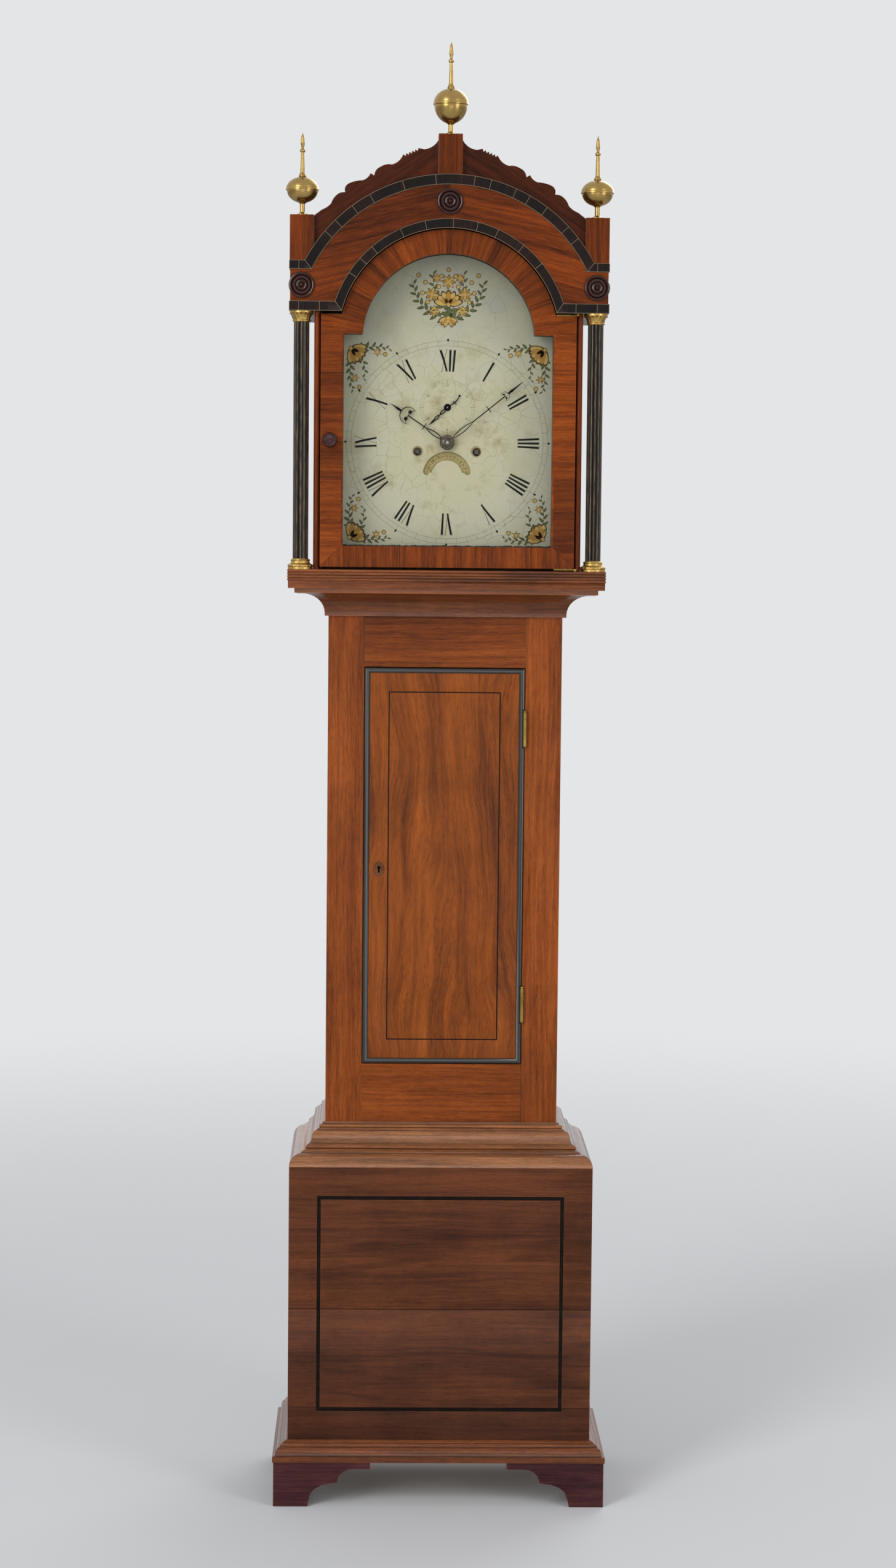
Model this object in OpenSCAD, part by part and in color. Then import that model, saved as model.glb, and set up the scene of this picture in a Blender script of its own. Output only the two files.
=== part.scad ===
// Longcase clock, about 1800: mahogany case, arched painted dial, eight-day weight-driven movement.
// The origin is on the floor in the middle of the footprint. X is to the right, Z is up, the front faces -Y.
// Depths are given as a distance in front of the wall, which front() turns into Y.

/* [Case] */
// Width across the trunk
trunk_w = 337; // [310:1:370]
// Depth of the trunk from the wall to its face
trunk_d = 186; // [180:1:210]
// Height of the trunk between its two mouldings
trunk_h = 735.5; // [690:0.5:850]
// How far the base stands out beyond the trunk
waist_out = 51; // [42:1:65]
// Height of the waist moulding
waist_h = 58.5; // [54:0.5:70]
// Height of the base front between its mouldings
base_h = 400.5; // [340:0.5:460]
// Height of the joint in the base front above the skirt moulding
base_joint_h = 192.7; // [120:0.1:240]
// Height of the skirt moulding
skirt_h = 28.5; // [26:0.5:36]
// How far the skirt moulding stands out beyond the base
skirt_out = 21.5; // [20:0.5:26]
// Height of the bracket feet
foot_h = 65; // [58:1:80]
// Length of each foot's bracket along the skirt
foot_l = 140.5; // [130:0.5:150]
// Thickness of the brackets
foot_t = 20; // [16:1:24]
// Thickness of the boards in the fronts of trunk and base
board = 18; // [16:1:20]
// Thickness of the side boards
side_board = 16; // [12:1:18]
// Thickness of the backboard
back_t = 14; // [10:1:16]
// Radius of the screw hole that holds the clock to the wall
wall_hole_r = 3; // [2:0.5:5]

/* [Stringing] */
// Distance of the base string from the edges of the base front
base_string_inset = 42; // [30:1:60]
// Width of the base string
base_string_w = 5.3; // [3:0.1:8]
// Distance of the door string from the edges of the door
door_string_inset = 35; // [25:1:45]
// Width of the door string
door_string_w = 1.5; // [1:0.1:3]
// Depth that both strings are let in
string_t = 1.2; // [0.8:0.1:2]

/* [Trunk door] */
// Width of the door opening
door_w = 232.6; // [210:0.2:250]
// Height of the door opening
door_h = 578; // [520:1:620]
// Height of the rail under the door
door_sill_h = 84.5; // [70:0.5:110]
// Gap round the door
door_gap = 0.5; // [0.3:0.1:1]
// Width of the bead round the door
bead_w = 8; // [6:0.5:10]
// How far the bead stands proud of the door
bead_out = 3; // [2:0.5:4]
// Length of each butt hinge
hinge_l = 48; // [40:1:60]
// Distance of the hinges from the ends of the door
hinge_inset = 64; // [50:1:90]
// Radius of the hinge knuckles
knuckle_r = 3; // [2.5:0.1:4]
// Radius of the hinge pin
hinge_pin_r = 1.2; // [0.8:0.1:1.5]
// Thickness of the hinge leaves
leaf_t = 1.5; // [1:0.1:2]
// Height of the keyhole above the bottom of the door
keyhole_h = 287; // [240:1:330]
// Travel of the lock's bolt
bolt_throw = 7; // [5:0.5:9]

/* [Hood] */
// Height of the throat moulding under the hood
throat_h = 40; // [36:1:48]
// How far the hood stands out beyond the trunk
hood_out = 57; // [54:1:64]
// Height of the hood's reeded base frame
hood_base_h = 27; // [25:0.5:34]
// Height from the base frame to the underside of the entablature
hood_opening_h = 364; // [350:1:390]
// Height of the lower dark band
lower_band_h = 13.5; // [11:0.5:16]
// Height of the frieze between the bands
frieze_h = 44.5; // [42:0.5:52]
// Height of the upper dark band
upper_band_h = 12.5; // [10:0.5:15]
// Depth of the arch's centre below the entablature
arch_drop = 39; // [34:1:44]
// Radius of the arch over the hood door
arch_r = 156.5; // [150:0.5:162]
// Width of the lower band on the arch
lower_band_w = 13.2; // [11:0.2:16]
// Width of the upper band on the arch
upper_band_w = 14.5; // [12:0.5:17]
// How far the bands stand proud of the frieze
band_out = 1.5; // [1:0.5:3]
// Thickness of the hood's side boards
hood_side_t = 12; // [10:0.5:14]
// Thickness of the roof staves
stave_t = 8; // [6:0.5:10]
// Radius of the turned roundels
roundel_r = 18.3; // [16:0.1:20]
// Height of the corner finial blocks
corner_block_h = 63.5; // [50:0.5:75]
// Height of the centre finial block above the arch
centre_block_h = 56; // [45:0.5:70]
// Width of the finial blocks
block_w = 34; // [30:1:38]
// Radius of the reeded columns
column_r = 11; // [9:0.5:12]
// Number of reeds on a column
reed_count = 12; // [10:1:14]
// Radius of the finial balls
ball_r = 24.5; // [20:0.5:27]
// Height of the spire on the centre finial
centre_spire_h = 66; // [50:1:80]
// Height of the spires on the corner finials
corner_spire_h = 63; // [50:1:80]

/* [Hood door] */
// Thickness of the hood door
hood_door_t = 18; // [15:1:20]
// Width of the door frame's stiles and rails
hood_door_rail = 32.5; // [28:0.5:36]
// Thickness of the glass
glass_t = 2.4; // [2:0.1:3]
// Radius of the pins that the hood door swings on
pivot_r = 1.5; // [1:0.1:2]

/* [Dial] */
// Width of the square part of the dial
dial_w = 305; // [296:1:312]
// Height of the dial's centre below the arch's centre
dial_drop = 142.4; // [138:0.2:148]
// Radius of the dial's arch
dial_arch_r = 125; // [120:1:130]
// Thickness of the dial plate
dial_t = 1.6; // [1.2:0.1:2.4]
// Length of the minute hand
minute_hand_l = 141; // [120:1:143]
// Length of the hour hand
hour_hand_l = 100; // [85:1:104]
// Radius of the calendar disc
date_r = 40; // [37:0.5:41]

/* [Movement] */
// Width of the plates
plate_w = 150; // [144:1:160]
// Thickness of the plates
plate_t = 3; // [2.5:0.1:3.5]
// Thickness of the seatboard
seat_t = 18; // [14:1:22]
// Distance of each winding square from the centre line
barrel_x = 42.5; // [41:0.1:44]
// Radius of the barrels
barrel_r = 21.5; // [18:0.5:23]
// Radius of the gut lines
line_r = 0.75; // [0.5:0.05:1]
// Radius of the bell
bell_r = 45; // [38:1:48]
// Length from the suspension to the middle of the bob
pendulum_l = 990; // [940:1:1000]
// Radius of the pendulum bob
bob_r = 47; // [40:1:52]
// Thickness of the bob
bob_t = 26; // [20:1:30]
// Radius of the weights
weight_r = 28; // [24:1:30]
// Height of the weights
weight_h = 165; // [140:1:190]
// Radius of the line round the pulleys
pulley_r = 24; // [22:0.5:26]

/* [Hidden] */
$fn = 64;

// Clearances
glue_line = 0.2;
run_gap = 0.05;
seat_gap = 0.3;

// Plan of the case
base_w = trunk_w + 2*waist_out;
base_d = trunk_d + waist_out;
hood_w = trunk_w + 2*hood_out;
hood_d = trunk_d + hood_out;
back_y = (base_d + skirt_out)/2;
hood_inner = trunk_w/2 + 3.5;
hood_carcase = hood_w/2 - 35;
hood_side_in = hood_carcase - hood_side_t;
column_in = 17;
column_x = hood_w/2 - column_in;
column_d = hood_d - column_in;
frieze_w = hood_w - 1.6;
frieze_d = hood_d - 0.8;
frieze_t = 22;
band_w = frieze_w + 2*band_out;
band_d = frieze_d + band_out;

// Heights above the floor
z_skirt = foot_h;
z_base = z_skirt + skirt_h;
z_waist = z_base + base_h;
z_trunk = z_waist + waist_h;
z_throat = z_trunk + trunk_h;
z_hood = z_throat + throat_h;
z_plinth = z_hood + hood_base_h;
z_soffit = z_plinth + hood_opening_h;
z_frieze = z_soffit + lower_band_h;
z_cornice = z_frieze + frieze_h;
z_top = z_cornice + upper_band_h;
z_arch = z_soffit - arch_drop;
z_dial = z_arch - dial_drop;
z_door = z_trunk + door_sill_h;
z_keyhole = z_door + keyhole_h;
tenon_h = 34;

// Arch radii, from the door outwards
frieze_r = arch_r + lower_band_w;
cornice_r = sqrt(pow(hood_carcase + 3.9, 2) + pow(z_cornice - z_arch, 2));
crest_r = cornice_r + upper_band_w;
roof_r = sqrt(pow(hood_carcase, 2) + pow(z_cornice - z_arch, 2));
block_front = frieze_d;

// Trunk door
door_top = z_door + door_h;
hinge_x = door_w/2 - door_gap/2;
hinge_d = trunk_d + knuckle_r + 0.4;
hinge_z = [z_door + hinge_inset, door_top - hinge_inset - hinge_l];
knuckle_l = (hinge_l - 0.2)/3;
tip_r = 0.8*knuckle_r;
lock_x = -door_w/2 + 23;
lock_w = 36;
bolt_h = 14;
bolt_t = 4;
bolt_l = 18 + bolt_throw;
bolt_d = trunk_d - board - bolt_t - 0.6;

// Hood door
hood_door_w = 2*hood_carcase - 19;
hood_door_d = hood_d - 9;
hood_door_low = z_plinth + 3.5;
hood_door_high = z_soffit - 3.5;
sight_w = hood_door_w - 2*hood_door_rail;
sight_r = arch_r - 34.5;
sight_low = hood_door_low + 30;
sight_high = z_arch + 8;
pivot_x = hood_door_w/2 + 1.3;
pivot_d = hood_door_d + 4;

// Dial and hands
dial_d = 177;
hour_hand_d = dial_d + 3;
minute_hand_d = dial_d + 7;
seconds_hand_d = dial_d + 1.5;
hand_t = 1.2;
date_drop = 47.5;
date_d = dial_d - dial_t - 3.9;
hour_angle = 304;
minute_angle = 51;
seconds_angle = 226;

// Movement: places on the plates are measured from the dial's centre
seat_drop = 80.5;
plate_top = 94.5;
plate_back_d = 75;
plate_front_d = 140;
z_seat = z_dial - seat_drop;
barrel_z = -13;
seconds_z = 50.2;
anchor_z = 78;
escape_r = 19;
centre_pair = [96, 8];
third_pair = [60, 8];
escape_pair = [56, 7];
hour_pair = [72, 6];
cannon_teeth = 40;
pin_pair = [84, 8];
gather_pair = [64, 8];
warning_pair = [56, 7];
fly_pair = [49, 7];
escape_teeth = 30;
going_at = [barrel_x, barrel_z];
strike_at = [-barrel_x, barrel_z];
centre_at = [0, 0];
seconds_at = [0, seconds_z];
centre_mod = 2*norm(going_at)/(centre_pair[0] + centre_pair[1]);
third_mod = 0.85;
escape_mod = 0.8;
third_at = two_circles(seconds_z, pitch(third_pair, third_mod), pitch(escape_pair, escape_mod));
pin_mod = 0.9;
gather_mod = 0.75;
warning_mod = 0.65;
fly_mod = 0.6;
cannon_mod = 1;
pin_at = strike_at + polar(pitch(pin_pair, pin_mod), 100);
gather_at = pin_at + polar(pitch(gather_pair, gather_mod), 60);
warning_at = gather_at + polar(pitch(warning_pair, warning_mod), 40);
fly_at = warning_at + polar(pitch(fly_pair, fly_mod), 100);
minute_at = [0, -cannon_teeth*cannon_mod];
hour_mod = -2*minute_at[1]/(hour_pair[0] + hour_pair[1]);
hammer_at = [-54, 69];
pillars_at = [[-68, 87], [68, 87], [-34, -72], [34, -72]];
feet_at = [[-60, 78], [60, 78], [-58, -65], [58, -65]];
line_d = 111;
drum_back = 88;
drum_front = 131;
going_line_x = going_at[0] - barrel_r - line_r - seat_gap;
strike_line_x = strike_at[0] - barrel_r - line_r - seat_gap;
rod_d = 45;
rod_r = 2;
pulley_drop = 40;
z_pulley = z_seat - seat_t - pulley_drop;
z_pivot = z_dial + anchor_z;
z_bell = z_dial + plate_top + 13;

// Wheel and pinion teeth, in modules: addendum, dedendum, then widths at pitch line, shoulder, tip and root
wheel_tooth = [1.2, 1.5, 1.35, 0.95, 0.35, 1.6];
leaf_tooth = [0.6, 1.6, 1.05, 0.85, 0.4, 0.65];
even_tooth = [0.9, 1.2, 1.25, 0.85, 0.45, 1.5];

function front(d) = back_y - d;
function pitch(pair, mod) = mod*(pair[0] + pair[1])/2;
function polar(r, a) = [r*cos(a), r*sin(a)];
function two_circles(h, ra, rb) =
    let (y = (h*h + ra*ra - rb*rb)/(2*h)) [sqrt(ra*ra - y*y), y];
function heading(from, to) = atan2(to[1] - from[1], to[0] - from[0]);
// Turn of a follower whose gap meets a tooth of the wheel that drives it
function meshed(turn, teeth, other, way) = way + 180 - (turn - way)*teeth/other + 180/other;
function arc(c, rx, ry, a, b, n) = [for (i = [0:n]) c + [rx*cos(a + (b - a)*i/n), ry*sin(a + (b - a)*i/n)]];
// A shallow bow from p to q that stands h to the left of the straight line
function bow(p, q, h, n) =
    let (d = q - p, side = [-d[1], d[0]]/norm(d))
    [for (i = [1:n]) let (s = i/n) p + d*s + side*4*h*s*(1 - s)];

// Places a drawing of the clock's front at a depth, so that its own Z comes towards the viewer
module facing(at, d) {
    translate([at[0], front(d), z_dial + at[1]]) rotate([90, 0, 0]) children();
}

module upright(d) {
    translate([0, front(d), 0]) rotate([90, 0, 0]) children();
}

module both_sides() {
    children();
    mirror([1, 0, 0]) children();
}

module box(x0, x1, d0, d1, z0, z1) {
    translate([x0, front(d1), z0]) cube([x1 - x0, d1 - d0, z1 - z0]);
}

// Three mitred lengths of one moulding round the front and both sides
module wrap(outline, half_w, face_d, inside, outside) {
    lowest = min([for (p = outline) p[1]]) - 1;
    highest = max([for (p = outline) p[1]]) + 1;
    outer = half_w + outside;
    inner = half_w - inside;
    intersection() {
        translate([half_w + outside, front(face_d), 0]) rotate([90, 0, -90])
            linear_extrude(2*(half_w + outside)) polygon(outline);
        translate([0, 0, lowest]) linear_extrude(highest - lowest) polygon([
            [-outer + glue_line, front(face_d + outside)], [outer - glue_line, front(face_d + outside)],
            [inner - glue_line, front(face_d - inside)], [-inner + glue_line, front(face_d - inside)]
        ]);
    }
    both_sides() intersection() {
        translate([half_w, back_y, 0]) rotate([90, 0, 0]) linear_extrude(face_d + outside) polygon(outline);
        translate([0, 0, lowest]) linear_extrude(highest - lowest) polygon([
            [inner - 1, back_y], [outer + 1, back_y], [outer, front(face_d + outside)],
            [inner, front(face_d - inside)], [inner - 1, front(face_d - inside)]
        ]);
    }
}

// A frame of four mitred lengths; the outline gives distance inwards and distance forwards
module mitred_frame(w, h, outline, reach) {
    for (i = [0:3]) {
        run = i%2 == 0 ? w : h;
        fall = i%2 == 0 ? h : w;
        rotate([0, 0, 90*i]) intersection() {
            translate([-run/2, -fall/2, 0]) rotate([90, 0, 90]) linear_extrude(run) polygon(outline);
            translate([0, 0, -50]) linear_extrude(100) polygon([
                [-run/2, -fall/2], [run/2, -fall/2], [run/2 - reach, -fall/2 + reach],
                [-run/2 + reach, -fall/2 + reach]
            ]);
        }
    }
}

module ring(w, h, width) {
    difference() {
        square([w, h], center = true);
        square([w - 2*width, h - 2*width], center = true);
    }
}

// CASE

module backboard() {
    color("saddlebrown") difference() {
        upright(0) linear_extrude(back_t) {
            translate([-base_w/2, z_skirt]) square([base_w, z_waist - z_skirt]);
            translate([-trunk_w/2, z_waist]) square([trunk_w, z_plinth + 1 - z_waist]);
            translate([-hood_side_in + 2, z_plinth + seat_gap])
                square([2*hood_side_in - 4, z_cornice - z_plinth - seat_gap]);
            intersection() {
                translate([0, z_arch]) circle(roof_r - stave_t - 3, $fn = 96);
                translate([-roof_r, z_cornice]) square([2*roof_r, roof_r]);
            }
        }
        translate([0, back_y + 1, z_arch + 80]) rotate([90, 0, 0]) cylinder(r = wall_hole_r, h = back_t + 2);
    }
}

module trunk_sides() {
    color("sienna") both_sides() {
        box(trunk_w/2 - side_board, trunk_w/2, back_t, trunk_d - board, z_waist - tenon_h, z_seat - seat_t);
        box(trunk_w/2 + glue_line, trunk_w/2 + 8, 20, 160, z_plinth + seat_gap, z_plinth + 15);
    }
}

module trunk_front_frame() {
    color("sienna") {
        difference() {
            both_sides() box(door_w/2, trunk_w/2, trunk_d - board, trunk_d, z_waist - tenon_h, z_hood);
            for (z = hinge_z) box(door_w/2 - 1, door_w/2 + leaf_t, trunk_d - board + 4, trunk_d + 1, z, z + hinge_l);
        }
        rail_w = door_w/2 - glue_line;
        box(-rail_w, rail_w, trunk_d - board, trunk_d, door_top, z_hood);
        box(-rail_w, rail_w, trunk_d - board, trunk_d, z_waist - tenon_h, z_door);
    }
}

// Profile of a moulding drawn at its usual size, stretched to the size it has here
function fitted(profile, usual, size, z) =
    [for (p = profile) [p[0]*size[0]/usual[0], z + p[1]*size[1]/usual[1]]];

// Ovolo, fillet, bead, cyma, fillet and bead from the base up to the trunk
waist_profile = concat(
    [[0, 0], [51, 0]],
    arc([35, 0], 16, 17.5, 0, 90, 9),
    [[34, 17.5], [34, 19], [28, 22.2]],
    arc([25.4, 25], 2.6, 2.4, -70, 70, 5),
    arc([26, 38], 7, 9.5, 262, 185, 6),
    arc([12.2, 37.8], 6.8, 9.2, 0, 88, 6),
    [[11.4, 47], [11.4, 48.4], [9.2, 49.8]],
    arc([6.2, 52.2], 2.6, 2.4, -60, 80, 5),
    [[4.2, 55], [4.2, 56.6], [2.6, 57], [2.6, 58.1], [0, 58.1]]
);

module trunk_mouldings() {
    color("saddlebrown")
        wrap(fitted(waist_profile, [51, 58.5], [waist_out, waist_h], z_waist), trunk_w/2, trunk_d, 0, waist_out);
    throat_lip = hood_out - 9;
    color("saddlebrown") wrap(
        concat(
            [[0, z_throat], [5.5, z_throat], [5.5, z_throat + 4]],
            arc([throat_lip - 10, z_throat + 4], throat_lip - 15.5, throat_h - 11.5, 180, 90, 8),
            [[throat_lip - 5, z_hood - 7.5], [throat_lip, z_hood - 6.5], [throat_lip, z_hood], [0, z_hood]]
        ), trunk_w/2, trunk_d, 0, throat_lip);
}

module base_front() {
    color("brown") difference() {
        union() {
            box(-base_w/2, base_w/2, base_d - board, base_d, z_skirt, z_base + base_joint_h - glue_line);
            box(-base_w/2, base_w/2, base_d - board, base_d, z_base + base_joint_h, z_waist);
        }
        string_place() linear_extrude(string_t + 1)
            ring(base_w - 2*base_string_inset + 2, base_h - 2*base_string_inset, base_string_w);
    }
}

module string_place() {
    translate([0, front(base_d - string_t), z_base + base_h/2]) rotate([90, 0, 0]) children();
}

module base_stringing() {
    color("black") string_place() linear_extrude(string_t)
        ring(base_w - 2*base_string_inset + 2, base_h - 2*base_string_inset, base_string_w);
}

module base_carcase() {
    inside = base_w/2 - side_board;
    behind = base_d - board - glue_line;
    block = 26;
    color("peru") {
        both_sides() {
            box(inside, base_w/2, back_t, behind, z_skirt, z_waist);
            box(trunk_w/2 + glue_line, inside - glue_line, back_t, trunk_d - board, z_waist - tenon_h, z_waist);
            translate([0, 0, z_skirt + 14 + glue_line]) linear_extrude(base_h - tenon_h) polygon([
                [inside - glue_line, front(behind)], [inside - glue_line, front(behind - block)],
                [inside - block, front(behind)]
            ]);
        }
        box(-inside + glue_line, inside - glue_line, back_t, behind, z_skirt, z_skirt + 14);
        box(-trunk_w/2, trunk_w/2, trunk_d + glue_line, behind, z_waist - tenon_h, z_waist);
    }
}

// Square, two stepped ovolos and a small slope
skirt_profile = concat(
    [[0, 0], [21.5, 0], [21.5, 8], [20.9, 8.6], [17.2, 8.6], [16.7, 11.6]],
    arc([11.6, 12.6], 5, 7.6, -4, 90, 7),
    [[10.8, 20.2], [10.8, 21.4]],
    arc([6.8, 21.4], 3.6, 3.6, 0, 90, 5),
    [[6, 25], [6, 26.2], [3.4, 27.6], [2.4, 28.5], [0, 28.5]]
);

module skirt_moulding() {
    color("brown")
        wrap(fitted(skirt_profile, [21.5, 28.5], [skirt_out, skirt_h], z_skirt), base_w/2, base_d, 0, skirt_out);
}

// Outline of one bracket of length l: distance from the corner, height
function bracket_outline(l) =
    let (k = l/140.5)
    concat(
        [[0, 0], [50*k, 0], [52*k, foot_h - 55]],
        arc([88*k, foot_h - 55], 36*k, 24, 175, 95, 6),
        [[93*k, foot_h - 30]],
        arc([115*k, foot_h - 30], 22*k, 20, 180, 90, 6),
        [[l, foot_h - 10], [l, foot_h - glue_line], [0, foot_h - glue_line]]
    );

module bracket_feet() {
    corner_x = base_w/2 + skirt_out - 1.5;
    corner_d = base_d + skirt_out - 1.5;
    side_l = corner_d/2 - 8;
    color("brown") both_sides() {
        difference() {
            translate([corner_x, front(corner_d - foot_t), 0]) rotate([90, 0, 0]) mirror([1, 0, 0])
                linear_extrude(foot_t) polygon(bracket_outline(foot_l));
            mitre_cut(corner_x, corner_d, -glue_line);
        }
        intersection() {
            translate([corner_x - foot_t, front(corner_d), 0]) rotate([90, 0, 90])
                linear_extrude(foot_t) polygon(bracket_outline(side_l));
            mitre_cut(corner_x, corner_d, 0);
        }
        translate([corner_x - foot_t, back_y, 0]) rotate([90, 0, 90]) mirror([1, 0, 0])
            linear_extrude(foot_t) polygon(bracket_outline(side_l));
        box(corner_x - foot_t - 70, corner_x - foot_t - glue_line, 0, 14, 20, foot_h - glue_line);
        box(corner_x - foot_t - 32, corner_x - foot_t - glue_line, corner_d - foot_t - 32,
            corner_d - foot_t - glue_line, 4, foot_h - glue_line);
    }
}

// Prism on the side-bracket side of a front corner's mitre
module mitre_cut(x, d, shift) {
    far = 2*foot_l;
    translate([0, 0, -1]) linear_extrude(foot_h + 2) polygon([
        [x + 5 + shift, front(d + 5)], [x + far, front(d + 5)], [x + far, front(d - far)],
        [x - far + shift, front(d - far)]
    ]);
}

// TRUNK DOOR

module door_at() {
    translate([0, front(trunk_d), z_door + door_h/2]) rotate([90, 0, 0]) children();
}

module keyhole(grow) {
    circle(2.2 + grow, $fn = 32);
    translate([-1.2 - grow, -7.5 - grow]) square([2.4 + 2*grow, 7.5]);
}

module trunk_door_board() {
    w = door_w - 2*door_gap;
    h = door_h - 2*door_gap;
    color("chocolate") difference() {
        door_at() translate([-w/2, -h/2, -board]) cube([w, h, board]);
        door_at() translate([0, 0, -4]) linear_extrude(5) ring(w + 2, h + 2, bead_w + 1);
        door_at() translate([0, 0, -string_t]) linear_extrude(string_t + 1)
            ring(w - 2*door_string_inset, h - 2*door_string_inset, door_string_w);
        for (z = hinge_z)
            box(w/2 - leaf_t, w/2 + 1, trunk_d - board + 4, trunk_d + 1, z, z + hinge_l);
        translate([lock_x, front(trunk_d - board - 1), z_keyhole]) rotate([90, 0, 0])
            linear_extrude(board + 2) keyhole(0.3);
        translate([lock_x, front(trunk_d - 1), z_keyhole - 2]) rotate([90, 0, 0]) linear_extrude(2) escutcheon_shape();
    }
}

// The bead round the door, notched for the hinges, and the thin string let into it
module trunk_door_ebony() {
    w = door_w - 2*door_gap;
    h = door_h - 2*door_gap;
    color("black") {
        difference() {
            door_at() mitred_frame(w, h, concat(
                [[0, -4], [bead_w, -4], [bead_w, 0]],
                arc([bead_w/2, 0], bead_w/2, bead_out, 0, 180, 8)
            ), bead_w);
            for (z = hinge_z) {
                translate([hinge_x, front(hinge_d), z - 4]) cylinder(r = knuckle_r + 0.4, h = hinge_l + 8);
                box(w/2 - leaf_t, w/2 + 1, trunk_d - board + 4, hinge_d, z, z + hinge_l);
            }
        }
        door_at() translate([0, 0, -string_t]) linear_extrude(string_t)
            ring(w - 2*door_string_inset, h - 2*door_string_inset, door_string_w);
    }
}

module escutcheon_shape() {
    polygon(arc([0, 0], 7.75, 10.85, 0, 350, 35));
}

// Lock case behind the door, whose bolt shoots behind the stile, and the escutcheon in front of it
module door_lock() {
    color("darkgoldenrod") {
        difference() {
            box(lock_x - 13, lock_x - 13 + lock_w, trunk_d - board - 9, trunk_d - board, z_keyhole - 27, z_keyhole + 27);
            box(lock_x - 14, lock_x - 22.7 + bolt_l + 1.5, bolt_d - 0.3, bolt_d + bolt_t + 0.3,
                z_keyhole - bolt_h/2 - 0.3, z_keyhole + bolt_h/2 + 0.3);
            translate([lock_x, front(trunk_d - board - 10), z_keyhole]) rotate([90, 0, 0]) linear_extrude(11) keyhole(0);
        }
        translate([lock_x, front(trunk_d - 1), z_keyhole - 2]) rotate([90, 0, 0]) difference() {
            linear_extrude(1.4) escutcheon_shape();
            translate([0, 2, -1]) linear_extrude(4) keyhole(0);
        }
    }
}

module lock_bolt() {
    edge = -door_w/2 + door_gap + 0.3;
    color("gray") box(edge, edge + bolt_l, bolt_d, bolt_d + bolt_t, z_keyhole - bolt_h/2, z_keyhole + bolt_h/2);
}

module door_hinge_plates() {
    color("goldenrod") for (z = hinge_z) {
        box(door_w/2, door_w/2 + leaf_t, trunk_d - board + 4, trunk_d, z, z + hinge_l);
        for (k = [0, 2]) {
            zk = z + k*(knuckle_l + 0.1);
            translate([hinge_x, front(hinge_d), zk]) cylinder(r = knuckle_r, h = knuckle_l);
            box(door_w/2, door_w/2 + leaf_t, trunk_d - 1, hinge_d, zk, zk + knuckle_l);
        }
        translate([hinge_x, front(hinge_d), z]) cylinder(r = hinge_pin_r, h = hinge_l);
        for (end = [z - 1, z + hinge_l + 1]) translate([hinge_x, front(hinge_d), end]) sphere(tip_r, $fn = 24);
    }
}

module door_hinge_leaves() {
    edge = door_w/2 - door_gap;
    color("goldenrod") for (z = hinge_z) {
        zk = z + knuckle_l + 0.1;
        difference() {
            union() {
                box(edge - leaf_t, edge, trunk_d - board + 4, trunk_d, z, z + hinge_l);
                box(edge - leaf_t, edge, trunk_d - 1, hinge_d, zk, zk + knuckle_l);
                translate([hinge_x, front(hinge_d), zk]) cylinder(r = knuckle_r, h = knuckle_l);
            }
            translate([hinge_x, front(hinge_d), z - 1]) cylinder(r = hinge_pin_r + run_gap, h = hinge_l + 2);
        }
    }
}

// HOOD

module hood_sides() {
    bead_r = 4.25;
    color("sienna") both_sides() difference() {
        union() {
            box(hood_side_in, hood_carcase, 0, hood_door_d - 8, z_plinth, z_cornice);
            translate([hood_carcase - bead_r, front(hood_door_d - 8), z_plinth])
                cylinder(r = bead_r, h = z_soffit - z_plinth);
        }
        box(hood_side_in - 1, hood_door_w/2 + 1, hood_door_d - hood_door_t - 1, hood_d, z_plinth - 1, z_cornice + 1);
        box(hood_side_in - 1, hood_carcase + 1, frieze_d - frieze_t - glue_line, hood_d, z_soffit, z_cornice + 1);
    }
}

// Outline of the base frame: distance from the hood's face, height; four reeds run along its upper half
function frame_outline() =
    let (deep = hood_w/2 - hood_inner, plain = 10.5, reeds = 4, reed = (hood_base_h - plain)/reeds)
    concat(
        [[-deep, z_hood], [0, z_hood], [0, z_hood + plain]],
        [for (i = [0:reeds - 1]) each arc([-0.4, z_hood + plain + reed*(i + 0.5)], 1.6, reed/2, -75, 75, 5)],
        [[-0.4, z_plinth], [-deep, z_plinth]]
    );

module hood_base_frame() {
    color("saddlebrown") difference() {
        wrap(frame_outline(), hood_w/2, hood_d, hood_w/2 - hood_inner, 1.2);
        translate([pivot_x, front(pivot_d), z_plinth - 7]) cylinder(r = pivot_r + run_gap, h = 8);
    }
}

// Shape of the facade between two arches and the level returns beside them
module facade(w, low, high, inner_r, outer_r) {
    difference() {
        union() {
            translate([-w/2, low]) square([w, high - low]);
            intersection() {
                translate([0, z_arch]) circle(outer_r, $fn = 160);
                translate([-outer_r, low]) square([2*outer_r, 2*outer_r]);
            }
        }
        translate([0, z_arch]) circle(inner_r, $fn = 160);
    }
}

module returns(w, low, high) {
    both_sides() box(hood_carcase + glue_line, w/2, 0, frieze_d - frieze_t - glue_line, low, high);
}

module hood_frieze() {
    color("chocolate") {
        upright(frieze_d - frieze_t) linear_extrude(frieze_t)
            facade(frieze_w, z_frieze, z_cornice, frieze_r, cornice_r);
        returns(frieze_w, z_frieze, z_cornice);
    }
}

module arch_mouldings() {
    depth = frieze_t + band_out;
    color([0.12, 0.08, 0.07]) difference() {
        union() {
            upright(frieze_d - frieze_t) linear_extrude(depth) facade(band_w, z_soffit, z_frieze, arch_r, frieze_r);
            upright(frieze_d - frieze_t) linear_extrude(depth) facade(band_w, z_cornice, z_top, cornice_r, crest_r);
            returns(band_w, z_soffit, z_frieze);
            returns(band_w, z_cornice, z_top);
        }
        translate([pivot_x, front(pivot_d), z_soffit - 1]) cylinder(r = pivot_r + run_gap, h = 8);
    }
}

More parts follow.
